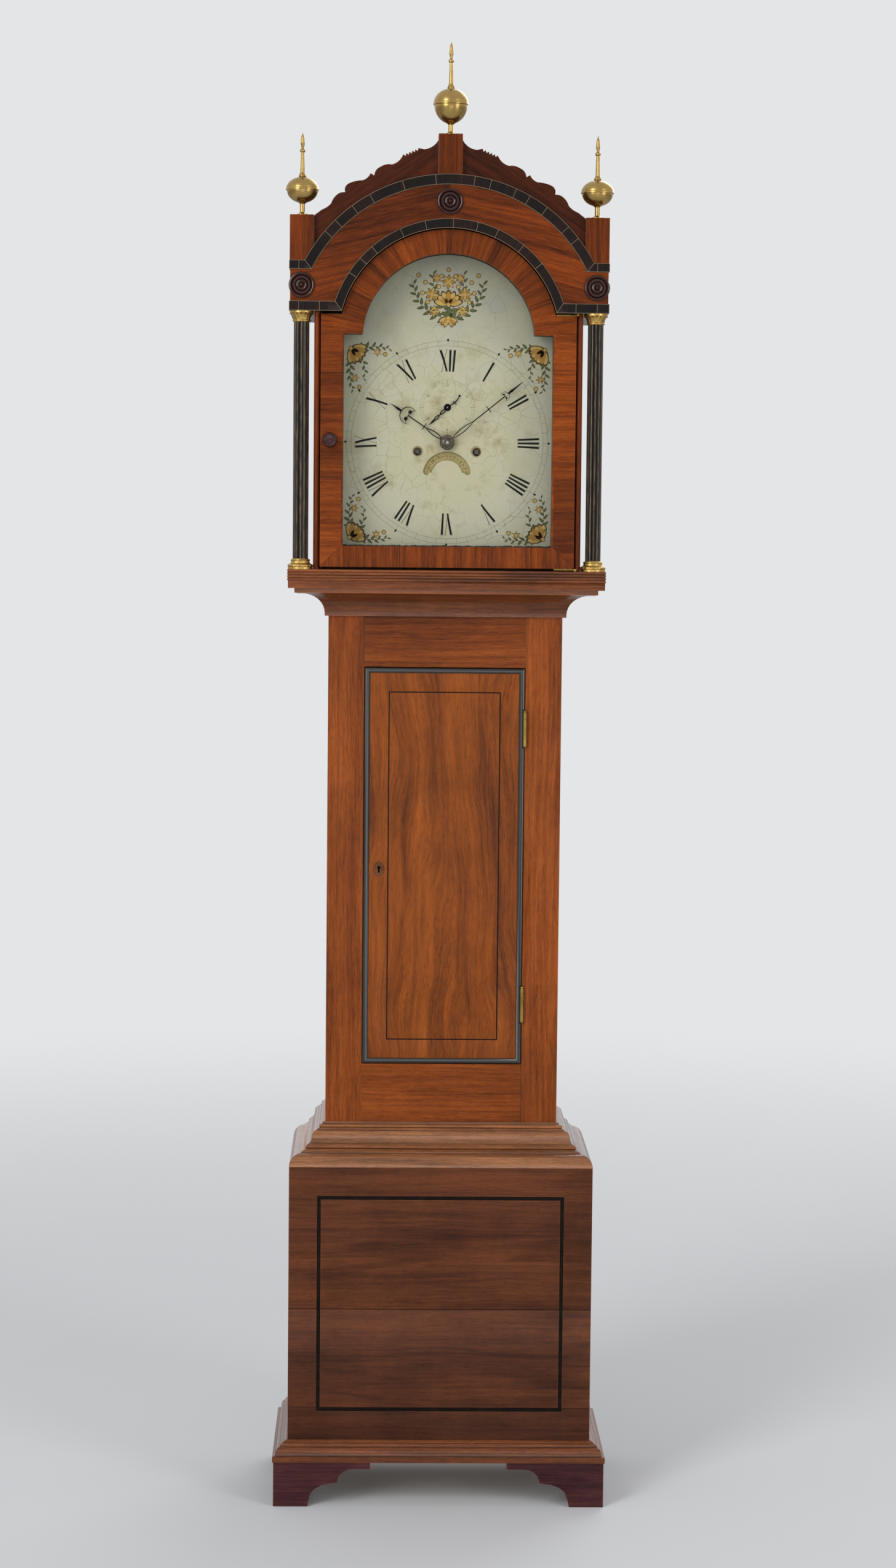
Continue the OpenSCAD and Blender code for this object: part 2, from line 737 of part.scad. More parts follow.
// Scalloped edge of the cresting: angle from the top of the arch, height above it, bow of the stretch before it
crest_line = [
    [7.9, 37.3, -3], [9.6, 40.3, 0], [14.4, 35.9, 0], [18.6, 26.6, -2.6], [22.1, 29.2, 1.6], [25.1, 21.4, 2.4],
    [25.8, 26.5, 0], [29, 22.6, -1.6], [33.2, 28.9, 1], [35.8, 21.6, 2.8], [37.6, 25.6, 0.6], [41.5, 21.6, 1.6],
    [45, 24, -1]
];
teeth_after = 1;
crest_teeth = 5;

function crest_point(p) = [(crest_r + p[1])*sin(p[0]), z_arch + (crest_r + p[1])*cos(p[0])];
function crest_step(i) =
    let (a = crest_point(crest_line[i]), b = crest_point(crest_line[i + 1]))
    i == teeth_after
        ? [for (k = [0:crest_teeth - 1]) each [
            a + (b - a)*(k + 0.45)/crest_teeth - [0.8, 3.4], a + (b - a)*(k + 1)/crest_teeth]]
        : crest_line[i + 1][2] == 0 ? [b] : bow(a, b, crest_line[i + 1][2], 5);

module hood_cresting() {
    centre = block_w/2 + glue_line;
    corner = column_x - block_w/2 - glue_line;
    start = [centre, z_arch + crest_r + 48];
    outline = concat(
        [[centre, z_arch], start], bow(start, crest_point(crest_line[0]), crest_line[0][2], 5),
        [for (i = [0:len(crest_line) - 2]) each crest_step(i)],
        [[corner, z_top + corner_block_h], [corner, z_arch]]
    );
    color("saddlebrown") both_sides() difference() {
        upright(block_front - 17) linear_extrude(8) polygon(outline);
        upright(block_front - 18) linear_extrude(10) {
            translate([0, z_arch]) circle(crest_r + glue_line, $fn = 160);
            translate([-hood_w, z_arch - 1]) square([2*hood_w, z_top - z_arch + 1 + glue_line]);
        }
    }
}

module finial_blocks() {
    back = block_front - block_w;
    color("chocolate") difference() {
        union() {
            both_sides() box(column_x - block_w/2, column_x + block_w/2, back, block_front,
                z_top + glue_line, z_top + corner_block_h);
            box(-block_w/2, block_w/2, back, block_front, z_arch + crest_r - 8, z_arch + crest_r + centre_block_h);
        }
        upright(back - 1) linear_extrude(block_w + 2)
            translate([0, z_arch]) circle(crest_r + glue_line, $fn = 160);
    }
}

module roundels() {
    rings = concat(
        [[0, 0], [roundel_r, 0], [roundel_r, 2]],
        arc([roundel_r - 2, 2], 2, 2.2, 0, 150, 5),
        [[roundel_r - 5, 1.2]],
        arc([roundel_r - 7.2, 1.4], 2.2, 2, 0, 180, 5),
        [[roundel_r - 10.2, 1]],
        arc([roundel_r - 12.2, 1.2], 2, 2.6, 0, 150, 5),
        [[2.6, 1.4], [1.4, 3.4], [0, 3.8]]
    );
    middle = (frieze_r + cornice_r)/2;
    spots = [[0, z_arch + middle], [-column_x, (z_frieze + z_cornice)/2], [column_x, (z_frieze + z_cornice)/2]];
    color([0.35, 0.15, 0.1]) for (s = spots)
        translate([s[0], front(frieze_d), s[1]]) rotate([90, 0, 0]) rotate_extrude() polygon(rings);
}

module hood_roof() {
    staves = 14;
    low = asin((z_cornice - z_arch + glue_line)/(roof_r - stave_t));
    step = (180 - 2*low)/staves;
    joint = 0.04;
    color("tan") upright(0) for (i = [0:staves - 1]) {
        a = low + i*step + joint;
        b = low + (i + 1)*step - joint;
        linear_extrude(frieze_d - frieze_t - glue_line) translate([0, z_arch])
            polygon([polar(roof_r - stave_t, a), polar(roof_r, a), polar(roof_r, b), polar(roof_r - stave_t, b)]);
    }
}

column_foot_h = 15;
column_head_h = 15;

// Outline of the reeded shaft: touching half rounds all the way round
function reeds_outline(n, r) =
    let (
        reed = PI*r/n*0.92, c = r - reed, half = 180/n,
        meet = c*cos(half) + sqrt(reed*reed - pow(c*sin(half), 2)),
        turn = atan2(meet*sin(half), meet*cos(half) - c)
    )
    [for (i = [0:n - 1]) let (a = 360*i/n)
        each [for (k = [-4:3]) polar(c, a) + polar(reed, a + turn*k/4)]];

module column_shafts() {
    color([0.14, 0.1, 0.09]) both_sides() translate([column_x, front(column_d), z_plinth + column_foot_h])
        linear_extrude(hood_opening_h - column_foot_h - column_head_h) polygon(reeds_outline(reed_count, column_r));
}

module column_brasses() {
    foot = concat(
        [[0, 0], [17.8, 0], [17.8, 3]],
        arc([15.6, 5], 2.2, 2, -60, 90, 5),
        arc([15.4, 10], 2.4, 3, 270, 180, 5),
        arc([11.8, 12.6], 2.2, 1.6, -60, 90, 5),
        [[11.3, column_foot_h], [0, column_foot_h]]
    );
    head = concat(
        [[0, 0], [11.8, 0]],
        arc([11.6, 1.6], 1.4, 1.4, -80, 80, 5),
        arc([16, 3], 4.4, 8.4, 180, 100, 6),
        [[16.6, 12.2], [17, 12.4], [17, column_head_h], [0, column_head_h]]
    );
    color("darkgoldenrod") both_sides() translate([column_x, front(column_d), z_plinth]) {
        rotate_extrude() polygon(foot);
        translate([0, 0, hood_opening_h - column_head_h]) rotate_extrude() polygon(head);
    }
}

// One ball finial that stands on its block
module finial(r, neck, under, over, spire) {
    seam = neck + under;
    crown = seam + over;
    bead_z = crown + spire*0.58;
    profile = concat(
        [[0, 0], [8, 0], [8, 1.6], [5, 3], [3.5, 4.5], [3.5, neck - 1.5], [5, neck]],
        arc([0, seam], r - 1.4, under, -72, -3, 10),
        [[r, seam - 0.7], [r, seam + 0.7]],
        arc([0, seam + 0.7], r - 0.4, over - 0.7, 4, 78, 10),
        [[5.4, crown + 1], [4.8, crown + 3], [3.2, crown + 6], [2.4, bead_z - 3]],
        arc([1.6, bead_z], 2.4, 2.6, -70, 70, 5),
        [[1.9, bead_z + 4], [2.2, bead_z + 6], [3, bead_z + 10], [2.3, bead_z + spire*0.3],
            [0.9, bead_z + spire*0.36], [0, crown + spire]]
    );
    rotate_extrude() polygon(profile);
}

module finials() {
    color("goldenrod") {
        translate([0, front(block_front - block_w/2), z_arch + crest_r + centre_block_h])
            finial(ball_r + 0.5, 15.5, 27, 22, centre_spire_h);
        both_sides() translate([column_x, front(block_front - block_w/2), z_top + corner_block_h])
            finial(ball_r - 1, 17.5, 18.3, 18, corner_spire_h);
    }
}

// Opening of the sight: a square with an arch on it
module sight(grow) {
    translate([-sight_w/2 - grow, sight_low - grow]) square([sight_w + 2*grow, sight_high - sight_low + 2*grow]);
    translate([0, z_arch]) intersection() {
        circle(sight_r + grow, $fn = 120);
        translate([-sight_w, 0]) square([2*sight_w, sight_w]);
    }
}

module dial_mask() {
    mask_t = 8;
    color("dimgray") upright(dial_d + 16) linear_extrude(mask_t) difference() {
        union() {
            translate([-hood_side_in + glue_line, z_plinth + glue_line])
                square([2*(hood_side_in - glue_line), z_cornice - z_plinth - glue_line]);
            intersection() {
                translate([0, z_arch]) circle(roof_r - stave_t - 3, $fn = 96);
                translate([-roof_r, z_cornice]) square([2*roof_r, roof_r]);
            }
        }
        sight(1);
    }
}

// HOOD DOOR

module hood_door_outline() {
    translate([-hood_door_w/2, hood_door_low]) square([hood_door_w, hood_door_high - hood_door_low]);
    intersection() {
        translate([0, z_arch]) circle(arch_r - 1, $fn = 160);
        translate([-arch_r, hood_door_high - 1]) square([2*arch_r, arch_r]);
    }
}

module hood_door_frame() {
    color("chocolate") difference() {
        upright(hood_door_d - hood_door_t) linear_extrude(hood_door_t) difference() {
            hood_door_outline();
            sight(0);
        }
        upright(hood_door_d - hood_door_t - 1) linear_extrude(6) sight(5);
    }
}

module hood_door_glass() {
    color([0.8, 0.9, 0.9, 0.35]) upright(hood_door_d - hood_door_t + 5 - glass_t) linear_extrude(glass_t) sight(4.5);
}

module hood_door_knob() {
    profile = concat(
        [[0, 0], [7, 0], [7, 1], [4.5, 2.4], [4.2, 4.5]],
        arc([6.2, 9.6], 4.8, 4.6, -80, 90, 8),
        [[3.2, 14], [2.4, 14.8], [0, 15]]
    );
    color("maroon") translate([-hood_door_w/2 + 13.6, front(hood_door_d), z_dial]) rotate([90, 0, 0])
        rotate_extrude() polygon(profile);
}

module hood_door_straps() {
    strap_t = 2;
    shoulder = sqrt(pow(arch_r - 1, 2) - pow(hood_door_high - z_arch, 2)) + 0.8;
    strap_end = max(pivot_x - 30, shoulder);
    color("goldenrod") for (end = [[hood_door_low - strap_t, -7.5], [hood_door_high, 2]]) {
        translate([0, 0, end[0]]) {
            box(strap_end, pivot_x - 4, hood_door_d - 15, hood_door_d - 2, 0, strap_t);
            linear_extrude(strap_t) polygon([
                [pivot_x - 12, front(hood_door_d - 3)], [pivot_x - 4.5, front(hood_door_d - 10)],
                [pivot_x + 1.5, front(pivot_d - 1)], [pivot_x - 1.5, front(pivot_d + 1)]
            ]);
            translate([pivot_x, front(pivot_d), 0]) cylinder(r = 2*pivot_r, h = strap_t);
            translate([pivot_x, front(pivot_d), end[1]]) cylinder(r = pivot_r, h = 7.5);
        }
    }
}

// DIAL AND HANDS

module dial_outline() {
    translate([-dial_w/2, z_dial - dial_w/2]) square([dial_w, dial_w]);
    intersection() {
        translate([0, z_arch]) circle(dial_arch_r, $fn = 120);
        translate([-dial_w/2, z_dial]) square(dial_w);
    }
}

// Curved mouth through which the calendar disc shows
module date_mouth() {
    mid = 28.5;
    half = 6.3;
    translate([0, -date_drop]) {
        polygon(concat(arc([0, 0], mid + half, mid + half, 11, 169, 20), arc([0, 0], mid - half, mid - half, 169, 11, 16)));
        for (a = [11, 169]) translate(polar(mid + 1.5, a)) circle(4.6, $fn = 32);
    }
}

module dial() {
    color([0.85, 0.84, 0.74]) {
        difference() {
            upright(dial_d - dial_t) linear_extrude(dial_t) dial_outline();
            facing([0, 0], dial_d - dial_t - 1) linear_extrude(dial_t + 2) {
                circle(7, $fn = 40);
                for (at = [going_at, strike_at]) translate(at) circle(6, $fn = 40);
                translate(seconds_at) circle(2.5, $fn = 32);
                date_mouth();
            }
        }
        for (at = feet_at) facing(at, plate_front_d + plate_t) cylinder(r = 4, h = dial_d - dial_t - plate_front_d - plate_t, $fn = 32);
        facing([0, -date_drop], date_d - 2) cylinder(r = 2, h = dial_d - dial_t - date_d + 2, $fn = 32);
        facing([0, -date_drop], date_d - 2) cylinder(r = 4.5, h = 1.8, $fn = 32);
    }
}

module date_disc() {
    color("ivory") facing([0, -date_drop], date_d) linear_extrude(1.5) difference() {
        polygon([for (i = [0:61]) polar(date_r - (i%2)*1.4, 360*i/62)]);
        circle(2 + run_gap, $fn = 32);
    }
}

// A flat bar from p to q
module bar(p, q, w) {
    translate(p) rotate([0, 0, heading(p, q)]) translate([0, -w/2]) square([norm(q - p), w]);
}

// A pair of mirrored strands that close at b, with a slit between them
module split_shaft(a, b, wide, slit) {
    difference() {
        polygon(concat(bow([a, 0], [b, 0], -wide, 10), bow([b, 0], [a, 0], -wide, 10)));
        polygon(concat(bow([a + 3, 0], [b - 3, 0], -slit, 10), bow([b - 3, 0], [a + 3, 0], -slit, 10)));
    }
}

// A hand that points to the right: split shaft, crossbars, crescent with two curls, and pointer
module hand_shape(long, split, cross, at, r, hub) {
    split_shaft(hub - 3, split, 3.4, 2.1);
    bar([split - 3, 0], [at, 0], 1.5);
    bar([cross, -5.5], [cross, 5.5], 1.1);
    translate([at, 0]) {
        difference() {
            circle(r, $fn = 48);
            translate([-0.06*r, 0]) circle(r*0.95, $fn = 48);
        }
        for (s = [-1, 1]) {
            bar([0, 0], [0.06*r, s*0.45*r], 0.9);
            translate([0.02*r, s*0.45*r]) circle(0.21*r, $fn = 24);
            bar([0, s*0.45*r], [-0.32*r, s*0.96*r], 0.9);
        }
    }
    polygon([[at + r - 1, -1.1], [at + r + 3, -1.6], [long - 8, -0.8], [long, 0], [long - 8, 0.8],
        [at + r + 3, 1.6], [at + r - 1, 1.1]]);
    bar([at + r + 6, -2.6], [at + r + 6, 2.6], 1);
}

module hour_hand() {
    hub = 10.4;
    color("midnightblue") facing([0, 0], hour_hand_d) rotate([0, 0, 90 - hour_angle]) linear_extrude(hand_t) difference() {
        union() {
            hand_shape(hour_hand_l, 37, 40, 68, 12.5, hub);
            circle(hub, $fn = 48);
        }
        circle(5.5 + run_gap, $fn = 48);
    }
}

// The minute hand and the turned collet that holds it on
module minute_hand() {
    hub = 10.4;
    bore = 2 + run_gap;
    color("midnightblue") facing([0, 0], minute_hand_d) {
        rotate([0, 0, 90 - minute_angle]) linear_extrude(hand_t) difference() {
            union() {
                hand_shape(minute_hand_l, 49, 76, 106, 6.6, hub);
                circle(hub, $fn = 48);
            }
            circle(4 + run_gap, $fn = 48);
        }
        translate([0, 0, hand_t - 0.4]) rotate_extrude() polygon([
            [bore, 0], [10, 0], [10.2, 1], [9.4, 1.7], [7.2, 1.6], [6.4, 2.6], [5, 3], [4.4, 2.2], [bore, 2.2]
        ]);
    }
}

module seconds_hand() {
    long = 37;
    tail = 24;
    color("midnightblue") facing(seconds_at, seconds_hand_d) rotate([0, 0, 90 - seconds_angle])
        linear_extrude(0.8) difference() {
            union() {
                circle(5.2, $fn = 40);
                split_shaft(2, 16, 2.6, 1.3);
                split_shaft(15, 28, 2.4, 1.2);
                polygon([[26, -1.2], [30, -1.4], [long, 0], [30, 1.4], [26, 1.2]]);
                polygon(concat([[0, 0.6]], bow([-4, 0.6], [-tail, 0.5], -2.4, 8), [[-tail, -0.6]],
                    bow([-tail, -0.6], [-4, -0.6], 2, 8), [[0, -0.6]]));
                translate([-tail, 0]) circle(1.6, $fn = 24);
                bar([-12, -1], [-12, 5.5], 1);
            }
            circle(1 + run_gap, $fn = 24);
        }
}

// MOVEMENT

// Gear outline: teeth of straight-sided steps between root, pitch line, shoulder and tip
function gear_points(teeth, mod, tooth) =
    let (r = teeth*mod/2, root = r - tooth[1]*mod, mid = r + 0.55*tooth[0]*mod, tip = r + tooth[0]*mod)
    [for (i = [0:teeth - 1]) let (c = 360*i/teeth) each [
        at_width(root, c, -tooth[5]*mod), at_width(r, c, -tooth[2]*mod), at_width(mid, c, -tooth[3]*mod),
        at_width(tip, c, -tooth[4]*mod), at_width(tip, c, tooth[4]*mod), at_width(mid, c, tooth[3]*mod),
        at_width(r, c, tooth[2]*mod), at_width(root, c, tooth[5]*mod)
    ]];
function at_width(r, a, w) = polar(r, a + w/2/r*180/PI);

// A crossed-out wheel: rim, four arms and hub
module wheel(teeth, mod, tooth, thick) {
    root = teeth*mod/2 - tooth[1]*mod;
    hub = max(4, root*0.22);
    linear_extrude(thick) difference() {
        polygon(gear_points(teeth, mod, tooth));
        if (root > 12) difference() {
            circle(root - 2.6, $fn = 48);
            circle(hub, $fn = 32);
            for (a = [0, 90]) rotate([0, 0, a]) square([2*root, 3], center = true);
        }
    }
}

module pinion(leaves, mod, long) {
    linear_extrude(long) polygon(gear_points(leaves, mod, leaf_tooth));
}

// A steel arbor between the plates with a fine pivot at each end
module arbor(r) {
    translate([0, 0, plate_back_d + plate_t + seat_gap])
        cylinder(r = r, h = plate_front_d - plate_back_d - plate_t - 2*seat_gap, $fn = 24);
    translate([0, 0, plate_back_d + 0.5]) cylinder(r = 1, h = plate_front_d - plate_back_d + plate_t - 1, $fn = 24);
}

module on_arbor(at, turn) {
    facing(at, 0) rotate([0, 0, turn]) children();
}

great_d = 84;
centre_turn = meshed(0, centre_pair[0], centre_pair[1], heading(going_at, centre_at));
centre_wheel_d = 135;
third_turn = meshed(0, third_pair[0], third_pair[1], heading(centre_at, third_at));
third_wheel_d = 112;
escape_turn = meshed(0, escape_pair[0], escape_pair[1], heading(third_at, seconds_at));
escape_wheel_d = 98;
motion_d = 146;
minute_turn = meshed(0, cannon_teeth, cannon_teeth, -90);
hour_turn = meshed(0, hour_pair[1], hour_pair[0], 90);
hour_wheel_d = 151.5;
pin_turn = meshed(0, pin_pair[0], pin_pair[1], heading(strike_at, pin_at));
pin_wheel_d = 135;
gather_turn = meshed(0, gather_pair[0], gather_pair[1], heading(pin_at, gather_at));
gather_wheel_d = 120;
warning_turn = meshed(0, warning_pair[0], warning_pair[1], heading(gather_at, warning_at));
warning_wheel_d = 104;
fly_turn = meshed(0, fly_pair[0], fly_pair[1], heading(warning_at, fly_at));

module movement_frame() {
    fine = [centre_at, third_at, pin_at, gather_at, warning_at, fly_at, hammer_at];
    color("gold") {
        for (d = [plate_back_d, plate_front_d]) facing([0, 0], d) linear_extrude(plate_t) difference() {
            translate([-plate_w/2, -seat_drop]) square([plate_w, seat_drop + plate_top]);
            for (at = fine) translate(at) circle(1 + run_gap, $fn = 24);
            for (at = [going_at, strike_at]) translate(at)
                circle((d == plate_front_d ? 5 : 2.5) + run_gap, $fn = 40);
            translate(seconds_at) circle((d == plate_front_d ? 1.5 : 1) + run_gap, $fn = 24);
            translate([0, anchor_z]) circle(d == plate_front_d ? 1 + run_gap : 4, $fn = 24);
            if (d == plate_front_d) circle(3, $fn = 32);
        }
        for (at = pillars_at) facing(at, plate_back_d + plate_t) {
            long = plate_front_d - plate_back_d - plate_t;
            cylinder(r = 4, h = long, $fn = 32);
            for (z = [0, long/2 - 2, long - 4]) translate([0, 0, z]) cylinder(r = 5.5, h = 4, $fn = 32);
        }
        facing(minute_at, plate_front_d + plate_t) cylinder(r = 1, h = 13.5, $fn = 24);
    }
}

// Cock behind the movement: carries the pallet arbor's back pivot and the pendulum's suspension
module back_cock() {
    cock_d = 52;
    color("gold") difference() {
        union() {
            facing([0, anchor_z], cock_d) linear_extrude(4) {
                translate([-30, -9]) square([60, 18]);
                translate([-9, 5]) square([18, 12]);
            }
            for (x = [-24, 24]) facing([x, anchor_z], cock_d) cylinder(r = 6, h = plate_back_d - cock_d, $fn = 40);
            translate([-9, front(cock_d), z_pivot + seat_gap]) cube([18, cock_d - rod_d + 7, 16.5]);
        }
        facing([0, anchor_z], cock_d - 1) cylinder(r = 1.5 + run_gap, h = 6, $fn = 24);
    }
}

module bell() {
    rim = 3;
    color("darkkhaki") {
        translate([0, front(line_d), z_bell]) rotate_extrude() polygon(concat(
            arc([0, 0], bell_r, bell_r*0.78, 2, 90, 11), arc([0, 0], bell_r - rim, bell_r*0.78 - rim, 90, 2, 11)
        ));
        // The stand rises behind the bell from the back plate and holds it by a screw at the crown
        translate([0, 0, z_dial + plate_top - 12]) box(-4, 4, plate_back_d - 5, plate_back_d - glue_line, 0, 12);
        bell_post_d = line_d - bell_r - 8;
        translate([0, 0, z_dial + plate_top - 12]) box(-4, 4, bell_post_d, plate_back_d - 4, 6, 12);
        translate([0, 0, z_dial + plate_top - 6]) box(-4, 4, bell_post_d, bell_post_d + 5, -1, z_bell + bell_r*0.78 + 6 - z_dial - plate_top + 6);
        box(-4, 4, bell_post_d, line_d + 4, z_bell + bell_r*0.78 + 1.5, z_bell + bell_r*0.78 + 5);
        translate([0, front(line_d), z_bell + bell_r*0.78 - rim - 4]) cylinder(r = 2, h = rim + 6, $fn = 24);
    }
}

module hammer() {
    head_z = z_bell - z_dial + 4;
    color("gray") {
        on_arbor(hammer_at, 0) arbor(1.5);
        facing([0, 0], line_d - 1.5) linear_extrude(3) polygon([
            hammer_at + [-2, -2], hammer_at + [2, -2], [-bell_r - 8, head_z], [-bell_r - 12, head_z]
        ]);
        translate([-bell_r - 13, front(line_d + 4), z_dial + head_z - 4]) cube([11, 8, 8]);
        facing([0, 0], pin_wheel_d + 2.5) linear_extrude(1.8) polygon([
            hammer_at + [-2, 2], hammer_at + [2, 2], hammer_at + [5, -18], hammer_at + [2.5, -18]
        ]);
    }
}

module winding_barrel(pair, mod, turn) {
    rotate([0, 0, turn]) translate([0, 0, great_d]) wheel(pair[0], mod, wheel_tooth, 3);
    translate([0, 0, great_d + 2]) cylinder(r = barrel_r + 2.5, h = drum_back - great_d - 2);
    translate([0, 0, great_d + 2]) cylinder(r = barrel_r, h = drum_front - great_d - 2);
    translate([0, 0, drum_front]) cylinder(r = barrel_r + 2.5, h = 2);
    translate([0, 0, plate_back_d + plate_t + seat_gap]) cylinder(r = 4.5, h = plate_front_d - plate_back_d - plate_t - 2*seat_gap);
    translate([0, 0, plate_back_d + 0.5]) cylinder(r = 2.5, h = 6);
    translate([0, 0, plate_front_d - 1]) cylinder(r = 5, h = plate_t + 3);
    translate([-3, -3, plate_front_d]) cube([6, 6, dial_d - plate_front_d - 3]);
}

module going_barrel() {
    color("goldenrod") facing(going_at, 0) winding_barrel(centre_pair, centre_mod, 0);
}

module strike_barrel() {
    color("goldenrod") facing(strike_at, 0) winding_barrel(pin_pair, pin_mod, 0);
}

module centre_wheel() {
    color("goldenrod") on_arbor(centre_at, 0) {
        arbor(2);
        rotate([0, 0, centre_turn]) translate([0, 0, great_d - 3]) pinion(centre_pair[1], centre_mod, 9);
        translate([0, 0, centre_wheel_d]) wheel(third_pair[0], third_mod, wheel_tooth, 2);
        translate([0, 0, plate_front_d - 2]) cylinder(r = 2, h = minute_hand_d + 6 - plate_front_d + 2);
    }
}

module third_wheel() {
    color("goldenrod") on_arbor(third_at, 0) {
        arbor(1.5);
        rotate([0, 0, third_turn]) translate([0, 0, centre_wheel_d - 3]) pinion(third_pair[1], third_mod, 7.5);
        translate([0, 0, third_wheel_d]) wheel(escape_pair[0], escape_mod, wheel_tooth, 2);
    }
}

module escape_wheel() {
    root = escape_r - 4;
    color("goldenrod") on_arbor(seconds_at, 0) {
        arbor(1.5);
        translate([0, 0, plate_front_d - 2]) cylinder(r = 1.5, h = 12, $fn = 24);
        translate([0, 0, plate_front_d + 8]) cylinder(r = 1, h = seconds_hand_d + 1.1 - plate_front_d - 8, $fn = 24);
        rotate([0, 0, escape_turn]) translate([0, 0, third_wheel_d - 4]) pinion(escape_pair[1], escape_mod, 10);
        translate([0, 0, escape_wheel_d]) linear_extrude(1.5) difference() {
            polygon([for (i = [0:escape_teeth - 1]) let (a = 360*i/escape_teeth) each [
                polar(root, a), polar(escape_r, a + 3.5), polar(escape_r, a + 4.5), polar(root, a + 7)]]);
            difference() {
                circle(root - 2.4, $fn = 48);
                circle(4, $fn = 32);
                for (a = [0, 90]) rotate([0, 0, a]) square([2*root, 2.4], center = true);
            }
        }
    }
}

// Recoil anchor over the escape wheel, with its arbor and the crutch that reaches the pendulum rod
module pallet_anchor() {
    inner = escape_r + 1.2;
    outer = inner + 3.6;
    span = seconds_z - anchor_z;
    crutch_d = 62;
    color("gray") on_arbor([0, anchor_z], 0) {
        translate([0, 0, 52.5]) cylinder(r = 1.5, h = plate_front_d - 52.5 - seat_gap, $fn = 24);
        translate([0, 0, plate_front_d - 1]) cylinder(r = 1, h = plate_t, $fn = 24);
        translate([0, 0, escape_wheel_d - 1]) linear_extrude(3.5) {
            translate([0, span]) polygon(concat(
                arc([0, 0], outer, outer, 44, 136, 16), arc([0, 0], inner, inner, 138, 42, 16)));
            translate([-3.2, span + inner + 1]) square([6.4, -span - inner]);
            circle(4, $fn = 32);
        }
        translate([-1.5, -110, crutch_d]) cube([3, 110, 2]);
        translate([0, 0, crutch_d]) cylinder(r = 4, h = 2, $fn = 32);
        for (s = [-1, 1]) translate([s*(rod_r + 1.2), -108, rod_d - 5]) cylinder(r = 1, h = crutch_d - rod_d + 6, $fn = 24);
        translate([-rod_r - 2.2, -110, crutch_d]) cube([2*rod_r + 4.4, 4, 2]);
    }
}

module cannon_wheel() {
    color("goldenrod") facing(centre_at, 0) difference() {
        union() {
            translate([0, 0, motion_d]) wheel(cannon_teeth, cannon_mod, even_tooth, 2);
            translate([0, 0, motion_d]) cylinder(r = 4, h = minute_hand_d + hand_t - 0.6 - motion_d);
        }
        translate([0, 0, motion_d - 1]) cylinder(r = 2 + run_gap, h = 60);
    }
}

module minute_wheel() {
    color("goldenrod") on_arbor(minute_at, 0) difference() {
        union() {
            rotate([0, 0, minute_turn]) translate([0, 0, motion_d]) wheel(cannon_teeth, cannon_mod, even_tooth, 2);
            translate([0, 0, motion_d]) pinion(hour_pair[1], hour_mod, 9.5);
        }
        translate([0, 0, motion_d - 1]) cylinder(r = 1 + run_gap, h = 12, $fn = 24);
    }
}

// Hour wheel with its pipe and the twelve-step snail of the strike
module hour_wheel() {
    steps = 12;
    color("goldenrod") facing(centre_at, 0) difference() {
        union() {
            rotate([0, 0, hour_turn]) translate([0, 0, hour_wheel_d]) wheel(hour_pair[0], hour_mod, wheel_tooth, 2);
            translate([0, 0, hour_wheel_d + 1.9]) linear_extrude(1.8)
                polygon([for (i = [0:steps - 1]) each arc([0, 0], 24 - i, 24 - i, 30*i, 30*(i + 1), 4)]);
            translate([0, 0, hour_wheel_d - 1]) cylinder(r = 5.5, h = hour_hand_d + hand_t + 0.8 - hour_wheel_d + 1);
        }
        translate([0, 0, hour_wheel_d - 2]) cylinder(r = 4 + run_gap, h = 60);
    }
}

module pin_wheel() {
    color("goldenrod") on_arbor(pin_at, 0) {
        arbor(1.8);
        rotate([0, 0, pin_turn]) translate([0, 0, great_d - 3]) pinion(pin_pair[1], pin_mod, 9);
        translate([0, 0, pin_wheel_d]) wheel(gather_pair[0], gather_mod, wheel_tooth, 2);
        for (a = [22.5:45:359]) rotate([0, 0, a]) translate([20.5, 0, pin_wheel_d + 1]) cylinder(r = 0.9, h = 3.4, $fn = 16);
    }
}

module gathering_wheel() {
    color("goldenrod") on_arbor(gather_at, 0) {
        arbor(1.5);
        rotate([0, 0, gather_turn]) translate([0, 0, pin_wheel_d - 4]) pinion(gather_pair[1], gather_mod, 8);
        translate([0, 0, gather_wheel_d]) wheel(warning_pair[0], warning_mod, wheel_tooth, 1.8);
    }
}

module warning_wheel() {
    color("goldenrod") on_arbor(warning_at, 0) {
        arbor(1.2);
        rotate([0, 0, warning_turn]) translate([0, 0, gather_wheel_d - 4]) pinion(warning_pair[1], warning_mod, 10);
        translate([0, 0, warning_wheel_d]) wheel(fly_pair[0], fly_mod, wheel_tooth, 1.6);
    }
}

module fly() {
    color("gold") on_arbor(fly_at, 0) {
        arbor(1.2);
        rotate([0, 0, fly_turn]) translate([0, 0, warning_wheel_d - 4]) pinion(fly_pair[1], fly_mod, 9);
        translate([-12, -0.5, 112]) cube([24, 1, 24]);
    }
}

// PENDULUM

module pendulum_rod() {
    spring_l = 28;
    block_h = 10;
    end = pendulum_l + bob_r + 34;
    color("gray") translate([0, front(rod_d), z_pivot]) {
        translate([-0.2, -4, -spring_l]) cube([0.4, 8, spring_l]);
        translate([-3, -5, -spring_l - block_h + 1]) cube([6, 10, block_h]);
        translate([0, 0, -end]) cylinder(r = rod_r, h = end - spring_l - block_h + 2);
    }
}

